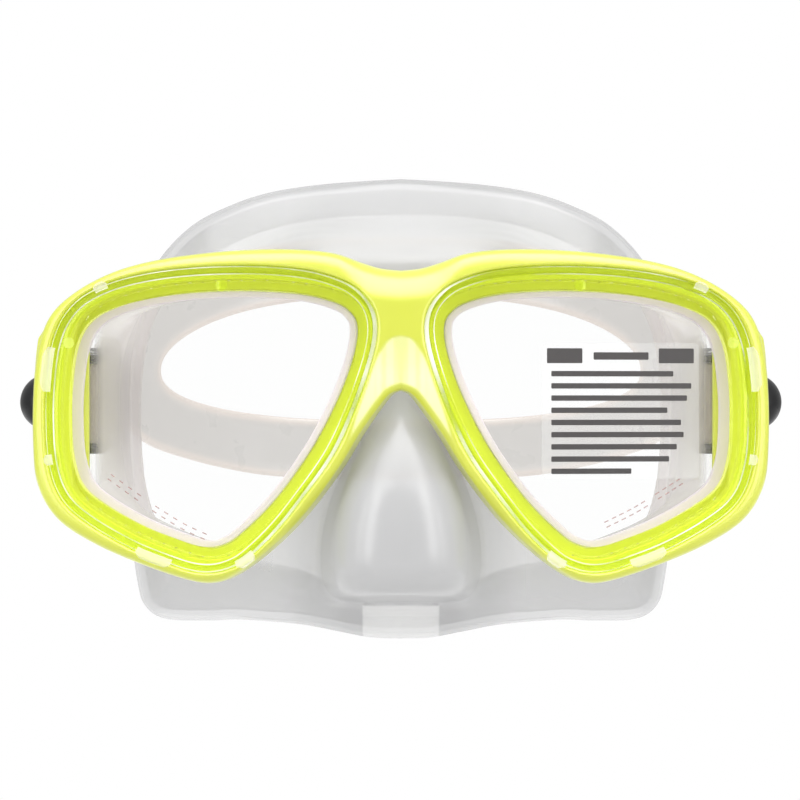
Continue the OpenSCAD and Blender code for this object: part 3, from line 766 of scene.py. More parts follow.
# ------------------------------------------------------------------ silicone skirt
def make_skirt():
    h = 0.5 * K
    xs = np.arange(0, 79, h)
    ys = np.arange(-67, 3, h)
    zs = np.arange(-57, 54, h)
    du = 0.5
    us = np.arange(-30, 92, du)
    UU, ZZ = np.meshgrid(us, zs, indexing="ij")
    Dw = poly_sdf(window, UU, ZZ)
    Dw = (Dw + INNER * np.clip(-np.gradient(Dw, du, axis=0), 0, 1)).astype(np.float32)
    XX, Z2 = np.meshgrid(xs, zs, indexing="ij")
    Ds = poly_sdf(skirt_poly, XX, Z2)[:, None, :].astype(np.float32)
    Dl = poly_sdf(lip_poly, XX, Z2)[:, None, :].astype(np.float32)
    X, Y = np.meshgrid(xs, ys, indexing="ij")

    def lift(D, U):
        t = np.clip((U - us[0]) / du, 0, len(us) - 1.001)
        i = t.astype(int)
        f = (t - i)[..., None].astype(np.float32)
        return D[i] * (1 - f) + D[i + 1] * f

    def tube(sx):
        U = (sx * X) * CC + (Y - LENS_Y) * SC
        V = (-(sx * X) * SC + (Y - LENS_Y) * CC)[..., None].astype(np.float32)
        return lift(Dw, U), V, U[..., None].astype(np.float32)

    dW, V, U1 = tube(1)
    dW2, V2, _ = tube(-1)
    x3, y3, z3 = X[..., None].astype(np.float32), Y[..., None].astype(np.float32), zs[None, None].astype(np.float32)
    face = -27 + 27 * (x3 / 67.8) ** 2
    # from the windows to the outline round the face
    rear_v = (-x3 * SC + (face - LENS_Y) * CC)
    temple = np.exp(-((z3 + 2) / 21.0) ** 4) * step(40, 58, x3)
    end = (rear_v - 2.0) * (1 - temple) + 20.0 * temple
    t1 = step(6.5, end, V)
    t2 = step(6.5, rear_v - 2.0, V2)
    taper = 0.10 * np.clip(face - y3, 0, 26) * (1 - temple)
    A = (1 - t1) * np.maximum(dW - 0.1, U1 - TEMPLE_U + 0.35) + t1 * (Ds + taper)
    B = (1 - t2) * (dW2 - 0.1) + t2 * (Ds + taper)
    O = smin(A, B, 5.0)
    # wall between and above the two windows, behind the bridge
    Dm = smax(np.abs(x3) - 20, np.abs(z3 - 12) - 22, 8)
    O = smin(O, smax(smax(Dm, -46.5 + 0.10 * np.maximum(z3 - 10, 0) ** 1.2 - y3, 3.0), Ds + taper + 0.6, 3), 6.0)
    # lower cheeks beside the nose
    Dc = smax(smax(np.abs(x3) - 36, np.abs(z3 + 31) - 17, 9), -39.0 - y3, 5)
    O = smin(O, smax(Dc, Ds + taper + 0.4, 4), 7.0)
    # nose pocket
    def soft(xp, fp):  # a smooth run of the values, without creases
        q = np.arange(-75, 30, 0.5)
        k = np.hanning(29) / np.hanning(29).sum()
        return np.interp(zs, q[14:-14], np.convolve(np.interp(q, xp, fp), k, "valid")).astype(np.float32)[None, None]

    yf = soft([-60, -46, -40, -36, -28, -20, -10, 0, 6, 14], [-60, -61.7, -63.2, -63.8, -63.1, -61.2, -57.4, -52.8, -49.5, -44])
    wn = soft([-60, -46, -38, -30, -22, -14, -6, 0, 6, 14], [10.6, 11.6, 12.2, 11.9, 10.6, 7.8, 4.7, 2.8, 2.0, 1.5])
    flare = 0.26
    a = (np.sqrt(x3 * x3 + 6.0) - 0.8 - (wn + flare * (y3 - yf))) * 0.965  # round along the ridge
    b = (yf - y3) * 0.96
    nz = smax(a, b, 10.0)
    nz = smax(nz, (-43.2 - 0.16 * (y3 + 62)) - z3, 6.0)
    nz = smax(nz, y3 + 26, 2)
    O = smin(O, smax(nz, z3 - 12, 3), 3.0)
    O = smax(O, Ds + taper - 9.0 * (1 - step(8, 21, V)), 0.4)
    g2 = np.sqrt(sum(g * g for g in np.gradient(O, h)))
    for _ in range(3):
        for q in range(3):
            g2 = (np.roll(g2, 1, q) + 2 * g2 + np.roll(g2, -1, q)) / 4
    O = O / np.clip(g2, 0.75, 1.25)
    t = 1.15 + 0.65 * step(6.5, 12, V) * step(6.5, 12, V2)
    shell = smax(O, -(O + t), 0.3)
    shell = smax(shell, -np.maximum(V - 5.25, dW - 6.0), 0.3)
    shell = smax(shell, y3 - face, 1.0)
    # sealing lip turned in along the rear edge
    lip = smax(smax(Ds, -Dl, 1.0), np.abs(y3 - (face - 0.9 + 0.02 * np.maximum(-Ds, 0))) - 0.75, 0.8)
    F = smin(shell, lip, 2.0)
    # two raised pads below the nose follow the wall
    for z0, z1, w in ((-54.6, -50.9, 8.9), (-50.4, -47.4, 8.7)):
        pad = smax(smax(np.abs(x3) - w, np.maximum(z0 - z3, z3 - z1), 0.5), np.maximum(O - 0.75, -(O + 0.8)), 0.4)
        pad = smax(pad, np.maximum(y3 + 29.5, Ds - 0.2), 0.4)
        F = smin(F, pad, 0.25)
    full = np.concatenate([F[:0:-1], F]).astype(np.float32)
    Vt, Q, N = nets(full, (-xs[-1], ys[0], zs[0]), h)
    Vt = relax(Vt, Q, 1, 0.4)
    N = relax(N, Q, 4, 0.6)  # no fine grain in the gloss
    N = N / np.maximum(np.linalg.norm(N, axis=1)[:, None], 1e-6)
    piece("face_skirt", Vt, Q, "mask", M_SKIRT, ["skirt"], N)


# ------------------------------------------------------------------ glass, retainers, film
def make_windows():
    n = len(window_even)
    for s in ("right", "left"):
        # glass with ground edges
        prof = [(2.25, 0.2), (2.6, 0.5), (2.6, 3.85), (2.25, 4.15)]
        rows = np.concatenate([on_window(np.stack([(window_even + win_n * a)[:, 0], np.full(n, v), (window_even + win_n * a)[:, 1]], 1)) for a, v in prof])
        faces = [list(range(n)), list(range(4 * n - 1, 3 * n - 1, -1))]
        for r in range(3):
            faces += [[r * n + i, (r + 1) * n + i, (r + 1) * n + (i + 1) % n, r * n + (i + 1) % n] for i in range(n)]
        V, F = rows, faces
        F = [f[::-1] for f in F]
        if s == "left":
            V, F, _ = flip_x(V, F)
        piece(f"lens_glass_{s}", V, F, "mask", M_GLASS, [f"lens_{s}"], smooth=False)

        widths = ring_width(window_even[:, 0], window_even[:, 1])

        def prof_ring(i):
            w = widths[i]
            bev = 0.35 + 0.65 * max(-win_n[i, 0], 0) ** 2
            e = bev + 1.15 + 0.25 * (w - 5.0)
            pts = [(0.0, -1.0), (0.5, -1.75), (1.7, -2.5), (w - e - 0.28, -2.5), (w - e, -2.78), (w - bev - 0.5, -2.72), (w - bev, -3.3), (w - 0.12, -3.1), (w, -2.7),
                   (w, 0.3), (w - 1.2, 0.3), (w - 1.35, -0.55), (2.3, -0.55), (2.2, 0.1), (0.15, 0.1)]
            rad = [0.2, 0.4, 0.5, 0.1, 0.08, 0.12, 0.12, 0.15, 0.2, 0.2, 0.2, 0.15, 0.15, 0.15, 0.12]
            return rounded(pts, rad, 3)

        V, Q = closed_sweep(window_even, win_n, prof_ring)
        if s == "left":
            V, Q, _ = flip_x(V, Q)
        ring = piece(f"lens_retainer_{s}", V, Q, "mask", M_CLEAR, [f"retainer_{s}"], sharp=40)
        ring.data.materials.append(M_EDGE_HIGHLIGHT)
        kk = len(prof_ring(0))
        per = np.arange(len(Q)) % kk
        # the bevel's faces: between the fifth and the seventh corner of the profile, and the inner lip, which take the
        # painted white highlight lines
        highlight_line_faces = (per >= 26) & (per <= 33) | (per >= 14) & (per <= 16)
        mi = np.zeros(len(Q), np.int32)
        mi[highlight_line_faces] = 1
        ring.data.polygons.foreach_set("material_index", mi)
        # snap tabs that lie over the frame's rim
        ang = np.degrees(np.arctan2(window_even[:, 1] + 2, window_even[:, 0] - 45))
        for k, (c, half, reach) in enumerate(TABS):
            d = np.abs((ang - c + 180) % 360 - 180)
            idx = [i for i in range(n) if d[i] <= half]
            if 0 in idx and n - 1 in idx:
                idx = [i - n if i > n // 2 else i for i in idx]
            idx = sorted(idx)

            def prof_tab(i, q):
                e = min(1.0, 5 * min(q, 1 - q) + 0.12) ** 0.5
                w = widths[i]
                return rounded([(w - 1.1, -2.9), (w - 1.0, -3.85 * e - 2.9 * (1 - e)), (w + reach * e - 0.3, -4.15), (w + reach * e, -3.7), (w + reach * e, -2.9)], 0.22, 3)

            V, F = open_sweep(idx, prof_tab)
            if s == "left":
                V, F, _ = flip_x(V, F)
            piece(f"retainer_tab_{k}_{s}", V, F, "mask", M_TAB_HIGHLIGHT, (), sharp=40)
        # the skirt's rim behind the glass, which lies on the frame's shelf
        def prof_seal(i):
            nx = win_n[i, 0]
            n_in = -1.25 - 1.45 * max(-nx, 0)
            n_out = 0.15 + 1.75 * max(nx, 0) - 1.25 * max(-nx, 0)
            pts = [(n_out, 4.2), (n_out, 5.12), (n_in + 1.1, 5.14), (n_in + 1.0, 6.6), (n_in + 0.2, 6.6), (n_in, 5.2), (n_in, 4.2)]
            return rounded(pts, [0.25, 0.15, 0.1, 0.15, 0.2, 0.3, 0.35], 3)

        V, Q = closed_sweep(window_even, win_n, prof_seal)
        if s == "left":
            V, Q, _ = flip_x(V, Q)
        piece(f"skirt_window_rim_{s}", V, Q, "mask", M_SEAL, ["skirt"], sharp=50)
        # locating pegs of the retainer
        for k, (u0, z0) in enumerate(((76.9, 13.1), (41.2, 26.1))):
            V, Q = lathe(rounded([(-0.72, 0.02), (-0.72, 1.3), (-0.42, 1.3), (-0.42, 0.02)], [0, 0.1, 0.1, 0], 2), 32, "z")
            V = on_window(np.stack([V[:, 0] + u0, V[:, 2], V[:, 1] + z0], 1))
            Q = outward_quads(V, Q)
            if s == "left":
                V, Q, _ = flip_x(V, Q)
            piece(f"retainer_peg_{k}_{s}", V, Q, "mask", M_PEG if k == 0 else M_CLEAR, (), sharp=40)
    # faint plain dashes near the outer lower edge of each glass
    for s in ("right", "left"):
        run = open_curve([[68.0, -17.2], [62.6, -21.0], [56.4, -25.2], [50.0, -29.0], [44.6, -31.4]], 30) if s == "left" else open_curve([[65.2, -18.4], [60.0, -21.6], [54.0, -25.2], [47.0, -28.6]], 30)
        run = arc_even(run, 200, closed=False)
        dirs = np.gradient(run, axis=0)
        dirs /= np.linalg.norm(dirs, axis=1)[:, None]
        VV, FF, k = [], [], 0
        for j in range(11):
            if j == 4:
                continue
            c = run[int(8 + 184 * j / 10)]
            d = dirs[int(8 + 184 * j / 10)]
            nn = np.array([-d[1], d[0]])
            for off, hw in ((0.62, 0.55), (-0.62, 0.55)):
                p = np.array([c + nn * off + d * a + nn * b for a, b in ((-hw, -0.13), (hw, -0.13), (hw, 0.13), (-hw, 0.13))])
                V = np.concatenate([on_window(np.stack([p[:, 0], np.full(4, q), p[:, 1]], 1)) for q in (0.16, 0.19)])
                VV.append(V)
                FF += [[q + k for q in f] for f in ([3, 2, 1, 0], [4, 5, 6, 7], [0, 1, 5, 4], [1, 2, 6, 5], [2, 3, 7, 6], [3, 0, 4, 7])]
                k += 8
        V = np.concatenate(VV)
        FF = [f[::-1] for f in FF]
        if s == "left":
            V, FF, _ = flip_x(V, FF)
        piece(f"glass_marks_{s}", V, FF, "mask", M_MARK, (), smooth=False)
    # film on the right window, with plain bars
    def rect(x0, x1, z0, z1, r, v, t):
        p = rounded([[x0, z0], [x1, z0], [x1, z1], [x0, z1]], r, 6)
        m = len(p)
        V = np.concatenate([on_window(np.stack([p[:, 0], np.full(m, q), p[:, 1]], 1)) for q in (v - t, v)])
        return V, [list(range(m)), list(range(2 * m - 1, m - 1, -1))] + [[i, m + i, m + (i + 1) % m, (i + 1) % m] for i in range(m)]
    V, F = rect(32.4, 69.0, -18.0, 13.0, 1.4, 0.19, 0.12)
    piece("label_film", V, [f[::-1] for f in F], "mask", M_FILM, ["lens_film"], smooth=False)
    bars = [(33.6, 41.8, 8.4, 11.8), (59.6, 67.8, 8.4, 11.8), (44.4, 57.2, 9.2, 10.9)]
    lengths = [28.4, 32.6, 31.6, 27.0, 30.2, 30.8, 29.2, 27.4, 18.6]
    for i, L in enumerate(lengths):
        zc = 6.0 - 2.78 * i
        bars.append((34.6, 34.6 + L, zc - 0.62, zc + 0.62))
    VV, FF, k = [], [], 0
    for b in bars:
        V, F = rect(b[0], b[1], b[2], b[3], 0.25, 0.066, 0.03)
        VV.append(V)
        FF += [[q + k for q in f[::-1]] for f in F]
        k += len(V)
    piece("label_bars", np.concatenate(VV), FF, "mask", M_INK, (), smooth=False)


# ------------------------------------------------------------------ strap
ROLL_R, ROLL = 2.6, np.array([74.35, -22.0])
WRAP = ROLL_R + 0.25 + 0.9
RUN_X = ROLL[0] - WRAP
TAIL_X = RUN_X + 2.1


def strap_centre():
    turn = [ROLL + WRAP * np.array([math.cos(a), math.sin(a)]) for a in np.linspace(0, -math.pi, 25)]
    tail = open_curve([[TAIL_X, 27], [TAIL_X, 20], [TAIL_X, 14], [TAIL_X, 8], [TAIL_X + 0.1, 5], [TAIL_X + 1.2, 0], [TAIL_X + 3.6, -5.5], [ROLL[0] + WRAP - 0.2, -11.5], [ROLL[0] + WRAP, -17], [ROLL[0] + WRAP, -21.8]], 8)
    run = np.array([[RUN_X, y] for y in np.linspace(-20, 39, 30)])
    back = open_curve([[RUN_X, 40], [RUN_X - 0.6, 44.5], [68.4, 49.5], [65.9, 55.2], [62.7, 61.3], [58.4, 68.2],
                       [51.2, 77.2], [40, 86], [27, 91.5], [13.5, 94.4], [0, 95.2]], 10)
    p = np.concatenate([tail[:-1], np.array(turn), run, back])[::-1]
    return arc_even(p, 1400, closed=False)


PAD_Y = [27, 34, 42, 50, 56, 64, 72, 80, 87, 92, 95.2]
PAD_H = [0, 0.04, 0.155, 0.31, 0.425, 0.545, 0.66, 0.785, 0.9, 0.97, 1]


def make_strap():
    C = strap_centre()
    s = np.concatenate([[0], np.cumsum(np.linalg.norm(np.diff(C, axis=0), axis=1))])
    T = np.gradient(C, s, axis=0)
    T[0] = (1, 0)
    T /= np.linalg.norm(T, axis=1)[:, None]
    # smoothed direction, so that the turn and the bends don't facet
    k = np.hanning(13) / np.hanning(13).sum()
    Tp = np.concatenate([np.repeat(T[:1], 6, 0), T, np.repeat(T[-1:], 6, 0)])
    T = np.stack([np.convolve(Tp[:, i], k, "valid") for i in (0, 1)], 1)
    T /= np.linalg.norm(T, axis=1)[:, None]
    Nn = np.stack([-T[:, 1], T[:, 0]], 1)  # away from the head
    S = s[-1]
    ax, ay = np.abs(C[:, 0]), C[:, 1]
    on_back = (ay > 40)
    e = lambda t: np.clip(t, 0, 1) ** 2 * (3 - 2 * np.clip(t, 0, 1))
    q = (71 - ax) / 71
    hh = 9.5 + 24 * np.where(on_back | (ay > 20), np.interp(ay, PAD_Y, PAD_H), 0)
    kh = np.hanning(61) / np.hanning(61).sum()
    hh = np.convolve(np.concatenate([hh[30:0:-1], hh, hh[-1:].repeat(30)]), kh, "valid")
    slot = np.where((ay > 50) & (ax < 63.6), 17 * np.sqrt(np.maximum(1 - (np.minimum(ax, 63.6) / 63.6) ** 2.6, 0)), 0)
    st = np.arange(0, S, 1.0)
    o = np.stack([st, np.interp(st, s, hh)], 1)
    tip = [[S - 4, 9.5], [S - 1.6, 8.7], [S - 0.4, 6.8], [S, 4.0]]
    o = np.concatenate([o[o[:, 0] < S - 5], tip])
    o = np.concatenate([o, (o * [1, -1])[::-1]])
    neg = (o * [-1, 1])[::-1]
    half = len(o) // 2
    outer = np.concatenate([(o[:half] * [-1, 1])[::-1][:-1], o, (o[half:] * [-1, 1])[::-1][:-1][::1]])
    # a plain closed outline: upper edge left to right, then lower edge back
    up = np.concatenate([(o[1:half] * [-1, 1])[::-1], o[:half]])
    outer = np.concatenate([up, (up * [1, -1])[::-1]])
    se = s[slot > 0.05].max()
    ss = np.concatenate([np.arange(0, se - 3, 1.0), np.linspace(se - 3, se, 12)])
    sl = np.stack([ss, np.interp(ss, s, slot)], 1)
    sl[-1, 1] = 0
    upl = np.concatenate([(sl[1:] * [-1, 1])[::-1], sl])
    slot_poly = np.concatenate([upl, (upl * [1, -1])[::-1][1:-1]])
    h = np.array([0.6, 0.55, 0.3]) * 1
    gs = np.arange(0, S + 1.5, h[0])
    gz = np.arange(-36, 36, h[1])
    gn = np.arange(-1.8, 1.8, h[2])
    GS, GZ = np.meshgrid(gs, gz, indexing="ij")
    d2 = np.maximum(poly_sdf(outer, GS, GZ), -poly_sdf(slot_poly, GS, GZ))
    rim = step(-2.6, -1.7, d2)
    Tn = 0.62 + 0.28 * np.maximum(rim, step(75, 110, GS) * 0.9)
    # ribs across the tail's outer face
    rib = step(0.3, 0.55, np.abs(((GS / 3.0) % 1) - 0.5) * 2) * step(S - 62, S - 60, GS) * step(S - 5, S - 7, GS) * step(-0.5, -2.6, d2)
    n3 = gn[None, None]
    lower = -(0.9 - 0.5 * (rib))[..., None]
    lower = np.where(GS[..., None] > S - 62, lower, -Tn[..., None])
    body = np.maximum(n3 - Tn[..., None], lower - n3)
    F = smax(np.broadcast_to(d2[..., None], body.shape), body, 0.7)
    full = np.concatenate([F[:0:-1], F]).astype(np.float32)
    P, Q, _ = nets(full, (-gs[-1], gz[0], gn[0]), h)
    smooth = relax(P, Q, 2, 0.5)
    tail = step(S - 66, S - 62, np.abs(P[:, 0]))[:, None]  # the ribs stay crisp
    P = smooth * (1 - tail) + P * tail
    a = np.abs(P[:, 0])
    c = np.stack([np.interp(a, s, C[:, i]) for i in (0, 1)], 1)
    t = np.stack([np.interp(a, s, Nn[:, i]) for i in (0, 1)], 1)
    over = np.maximum(a - S, 0)[:, None] * T[-1]
    xy = c + over + t * P[:, 2:3]
    V = np.stack([xy[:, 0] * np.where(P[:, 0] < 0, -1, 1), xy[:, 1], P[:, 1] + PIVOT[2]], 1)
    V = raised(V)
    # the grid's handedness: s grows to the right with n outwards
    vol = 0.0
    p0, p1, p2, p3 = (V[Q[:, i]] for i in range(4))
    vol = (np.cross(p1 - p0, p2 - p0) * p0).sum() + (np.cross(p2 - p0, p3 - p0) * p0).sum()
    if vol < 0:
        Q = Q[:, ::-1]
    ob = piece("head_strap", V, Q, "strap", M_STRAP, ["strap"])
    fi = np.clip((a - gs[0]) / h[0], 0, len(gs) - 1.001)
    fj = np.clip((P[:, 1] - gz[0]) / h[1], 0, len(gz) - 1.001)
    gi, gj = fi.astype(int), fj.astype(int)
    fi, fj = fi - gi, fj - gj
    dv = (d2[gi, gj] * (1 - fi) + d2[gi + 1, gj] * fi) * (1 - fj) + (d2[gi, gj + 1] * (1 - fi) + d2[gi + 1, gj + 1] * fi) * fj
    # the beaded rim is paler; the loop round the roller, from y -12 mm down, is painted paler as painted light standing
    # in for the shade it lies in
    edge = np.maximum(step(-2.5, -0.9, dv) * step(34, 44, c[:, 1]), step(-12, -17, c[:, 1]))
    at = ob.data.attributes.new("rim", "FLOAT", "POINT")
    at.data.foreach_set("value", edge.astype(np.float32))


# ------------------------------------------------------------------ buckle
ARM0, ARM1 = 9.9, 11.7
PLATE0, PLATE1 = 79.25, 80.9
PIN = np.array([82.4, -8.5])
HUB_END = 84.8


def box3(x, y, z, x0, x1, y0, y1, z0, z1, r):
    d = smax(np.maximum(x0 - x, x - x1), np.maximum(y0 - y, y - y1), r)
    return smax(d, np.maximum(z0 - z, z - z1), r)


def volume(lo, hi, h):
    ax = [np.arange(a, b, h) for a, b in zip(lo, hi)]
    g = np.meshgrid(*ax, indexing="ij")
    return [a.astype(np.float32) for a in g], ax


def add(name, F, ax, h, body, mat, replaces, s):
    V, Q, N = nets(F.astype(np.float32), [a[0] for a in ax], h)
    V = V + [0, 0, PIVOT[2]]
    V, N = raised(V), raised_dir(N)
    if s == "left":
        V, Q, N = flip_x(V, Q, N)
    piece(name, V, Q, body, mat, replaces, N)


def make_buckle(s):
    h = 0.22 * K
    (x, y, z), ax = volume((68.4, -29.5, -13), (86.8, -4.5, 13), h)
    XY = np.meshgrid(ax[0], ax[1], indexing="ij")
    arm = poly_sdf(rounded([[69.5, -26.4], [71, -28], [79.8, -28], [80.9, -26.8], [80.9, -16], [84.4, -10.5], [84.6, -7.4], [83, -5.4],
                            [79, -6], [72, -8.5], [69.5, -11]], 1.2, 5), *XY)[..., None].astype(np.float32)
    F = smax(arm, np.maximum(ARM0 - np.abs(z), np.abs(z) - ARM1), 0.6)
    # raised eyes round the axle and the lever pin
    for c, r in ((ROLL, 2.6), (PIN, 1.9)):
        e = np.sqrt((x - c[0]) ** 2 + (y - c[1]) ** 2) - r
        F = smin(F, smax(smax(e, np.abs(np.abs(z) - (ARM1 - 0.3)) - 0.3, 0.2), arm + 0.3, 0.2), 0.25)
    plate = box3(x, y, z, PLATE0, PLATE1, -28, -17.2, -ARM0 - 0.4, ARM0 + 0.4, 0.5)
    F = smin(F, plate, 0.9)
    clamp = smax(smax(np.sqrt((x - 74.4) ** 2 + ((y + 13.9) * 1.25) ** 2) - 2.25, np.abs(z) - ARM0 - 0.4, 0.2), 0 * x - 1, 0.01)
    F = smin(F, clamp, 0.6)
    rr = np.sqrt((y - PIVOT[1]) ** 2 + z ** 2)
    hub = smax(rr - 3.0, np.maximum(PLATE0 + 0.5 - x, x - HUB_END), 0.25)
    F = smin(F, hub, 0.35)
    boss = smax(rr - 4.6, np.maximum(PLATE0 - 0.35 - x, x - PLATE0 - 0.6), 0.3)
    F = smin(F, boss, 0.3)
    F = np.maximum(F, 1.0 - np.sqrt((x - ROLL[0]) ** 2 + (y - ROLL[1]) ** 2))
    F = np.maximum(F, 0.8 - np.sqrt((x - PIN[0]) ** 2 + (y - PIN[1]) ** 2))
    F = np.where(x > PLATE0 + 1, np.maximum(F, 1.1 - rr), F)
    add(f"buckle_{s}", F, ax, h, f"buckle_{s}", M_BLACK, [f"buckle_body_{s}"], s)

    h = 0.17 * K
    (x, y, z), ax = volume((78.6, -16.2, -10.4), (88.2, 1.2, 10.4), h)
    XY = np.meshgrid(ax[0], ax[1], indexing="ij")
    nose = poly_sdf(rounded([[79.4, -13.0], [80.0, -13.6], [81.4, -12.4], [82.6, -10.4], [82.2, -7.2], [80.7, -7.6], [79.4, -11.4]], [0.15, 0.3, 0.6, 0.6, 0.5, 0.5, 0.3], 4), *XY)[..., None].astype(np.float32)
    tab = poly_sdf(rounded([[82.5, -10.3], [84.2, -9.6], [86.3, -6.4], [87.3, -1.6], [87, 0.6], [86, 1.2], [85.2, 0], [84.8, -3.2], [83.2, -6.4], [82, -6.9]], 0.7, 4), *XY)[..., None].astype(np.float32)
    barrel = np.sqrt((x - PIN[0]) ** 2 + (y - PIN[1]) ** 2) - 1.9
    F = smax(barrel, np.maximum(-9.6 - z, z - 5.4), 0.3)
    teeth = 0.22 * (np.abs(((z / 1.6) % 1) - 0.5) * 2 - 0.5)
    F = smin(F, smax(nose + 0.06 + np.where(y < -11.2, teeth * 0.6, 0), np.maximum(-8.6 - z, z - 5.3), 0.4), 0.6)
    wz = 5.4 - 0.09 * np.maximum(y + 3, 0) ** 2
    grip = 0.2 * np.cos((y + 1) * 2 * math.pi / 1.5) * step(-5.6, -4.6, y) * step(84.6, 85.6, x)
    F = smin(F, smax(tab + 0.15 + grip, np.abs(z) - wz, 0.9), 0.8)
    F = np.maximum(F, 0.85 - np.sqrt((x - PIN[0]) ** 2 + (y - PIN[1]) ** 2))
    add(f"release_tab_{s}", F, ax, h, f"lever_{s}", M_BLACK, [f"release_lever_{s}"], s)

    h = 0.25 * K
    (x, y, z), ax = volume((67.3, 10.6, -12.2), (77, 21.4, 12.2), h)
    top = 0.25 * step(1.6, 0.6, np.minimum(y - 12, 20 - y))
    F = box3(x, y, z, 68.35 + 0.2 - top, 75.95 - 0.2 + top, 12, 20, -10.95 - top, 10.95 + top, 0.9)
    hole = box3(x, y, z, RUN_X - 1.2, TAIL_X + 1.2, 5, 27, -9.8, 9.8, 0.3)
    F = smax(F, -hole, 0.5)
    add(f"keeper_loop_{s}", F, ax, h, f"keeper_{s}", M_KEEPER, [f"strap_keeper_{s}"], s)


def fin(V, Q, s):
    V = raised(V)
    if s == "left":
        V, Q, _ = flip_x(V, Q)
    return V, Q


def outward_quads(V, Q):
    p0, p1, p2, p3 = (V[Q[:, i]] for i in range(4))
    c = V.mean(0)
    vol = (np.cross(p1 - p0, p2 - p0) * (p0 - c)).sum() + (np.cross(p2 - p0, p3 - p0) * (p0 - c)).sum()
    return Q if vol > 0 else Q[:, ::-1]


def turned(name, profile, rad, body, mat, replaces, s, axis="x", centre=(0, 0, 0), n=64, sharp=35):
    V, Q = lathe(rounded(profile, rad, 4), n, axis, centre)
    Q = outward_quads(V, Q)
    V, Q = fin(V, Q, s)
    return piece(name, V, Q, body, mat, replaces, sharp=sharp)


def make_small(s):
    b = f"buckle_{s}"
    pc = (0, PIVOT[1], PIVOT[2])
    # domed cap: a ball segment with a small edge radius, hollow over the screw
    R, xt = 6.67, 90.2
    cx = xt - R
    th = np.linspace(0, math.acos((85.1 - cx) / R), 22)
    dome = [(cx + R * math.cos(a), max(R * math.sin(a), 0.02)) for a in th]
    prof = dome + [(84.95, R * math.sin(th[-1]) + 0.02), (84.84, 6.35), (84.84, 5.2), (85.4, 5.05), (85.4, 2.8), (87.1, 2.7), (87.1, 0.02)]
    V, Q = lathe(prof, 72, "x", pc)
    Q = outward_quads(V, Q)
    V, Q = fin(V, Q, s)
    piece(f"pivot_dome_{s}", V, Q, b, M_BLACK, [f"pivot_cap_{s}"], sharp=35)
    # washer under the screw, and the wavy spring washer behind the ear
    turned(f"washer_{s}", [(84.81, 1.2), (85.3, 1.2), (85.3, 5.0), (84.81, 5.0)], 0.12, b, M_STEEL, [f"retaining_washer_{s}"], s, centre=pc)
    n, m = 96, 8
    a = np.linspace(0, 2 * math.pi, n, endpoint=False)
    q = rounded([(-0.1, 3.15), (0.1, 3.15), (0.1, 5.3), (-0.1, 5.3)], 0.05, 1)
    m = len(q)
    V = np.array([[81.2 + 0.085 * math.sin(3 * t) + p[0], p[1] * math.cos(t), p[1] * math.sin(t)] for t in a for p in q]) + pc
    i, j = np.meshgrid(np.arange(n), np.arange(m), indexing="ij")
    i, j = i.ravel(), j.ravel()
    Q = np.stack([i * m + j, i * m + (j + 1) % m, ((i + 1) % n) * m + (j + 1) % m, ((i + 1) % n) * m + j], 1)
    V, Q = fin(V, outward_quads(V, Q), s)
    piece(f"wave_spring_{s}", V, Q, b, M_STEEL, [f"wave_washer_{s}"], sharp=40)
    # axle and pin with domed heads
    for nm, c, r, hr, rep in (("axle", ROLL, 0.99, 1.7, "roller_axle"), ("hinge_pin", PIN, 0.79, 1.3, "lever_pin")):
        prof = [(-11.8, 0.02), (-11.8, r - 0.15), (-11.6, r), (11.7, r), (11.7, hr), (11.95, hr), (12.18, hr * 0.6), (12.2, 0.02)]
        V, Q = lathe(prof, 40, "z", (c[0], c[1], PIVOT[2]))
        V, Q = fin(V, outward_quads(V, Q), s)
        piece(f"{nm}_{s}", V, Q, b, M_STEEL, [f"{rep}_{s}"], sharp=35)
    # roller with flanged, grooved barrel
    prof = [(-9.6, 1.04), (-9.6, 2.3), (-9.3, 2.6), (-8.4, 2.6), (-8.1, 2.35)]
    for k in range(-4, 5):
        prof += [(k * 1.8 - 0.55, 2.35), (k * 1.8 - 0.35, 2.5), (k * 1.8 + 0.35, 2.5), (k * 1.8 + 0.55, 2.35)]
    prof += [(8.1, 2.35), (8.4, 2.6), (9.3, 2.6), (9.6, 2.3), (9.6, 1.04)]
    V, Q = lathe(prof, 48, "z", (ROLL[0], ROLL[1], PIVOT[2]))
    V, Q = fin(V, outward_quads(V, Q), s)
    piece(f"ribbed_roller_{s}", V, Q, f"roller_{s}", M_ROLLER, [f"strap_roller_{s}"], sharp=30)
    # torsion spring with bent legs
    w, turns, pitch = 0.25, 4, 0.66
    t = np.linspace(0, turns * 2 * math.pi, 160)
    coil = np.stack([1.35 * np.cos(t), 1.35 * np.sin(t), w + pitch * t / (2 * math.pi)], 1)
    path = np.concatenate([[[1.35, -2.5, w], [1.35, -1.2, w]], coil, [[1.35, 1.2, w + pitch * turns], [1.35, 2.5, w + pitch * turns]]])
    path = arc_even(path, 320, closed=False)
    tan = np.gradient(path, axis=0)
    tan /= np.linalg.norm(tan, axis=1)[:, None]
    u = np.stack([tan[:, 1], -tan[:, 0], 0 * tan[:, 0]], 1)
    u /= np.linalg.norm(u, axis=1)[:, None]
    v = np.cross(tan, u)
    g = 10
    ang = np.linspace(0, 2 * math.pi, g, endpoint=False)
    V = (path[:, None] + w * 0.98 * (np.cos(ang)[None, :, None] * u[:, None] + np.sin(ang)[None, :, None] * v[:, None])).reshape(-1, 3)
    L = len(path)
    faces = [[i * g + j, i * g + (j + 1) % g, (i + 1) * g + (j + 1) % g, (i + 1) * g + j] for i in range(L - 1) for j in range(g)]
    faces = [f[::-1] for f in faces] + [list(range(g)), list(range(L * g - 1, (L - 1) * g - 1, -1))]
    V = V + [PIN[0], PIN[1], PIVOT[2] + 5.9]
    V = raised(V)
    if s == "left":
        V, faces, _ = flip_x(V, faces)
    piece(f"torsion_spring_{s}", V, faces, b, M_STEEL, [f"lever_spring_{s}"])
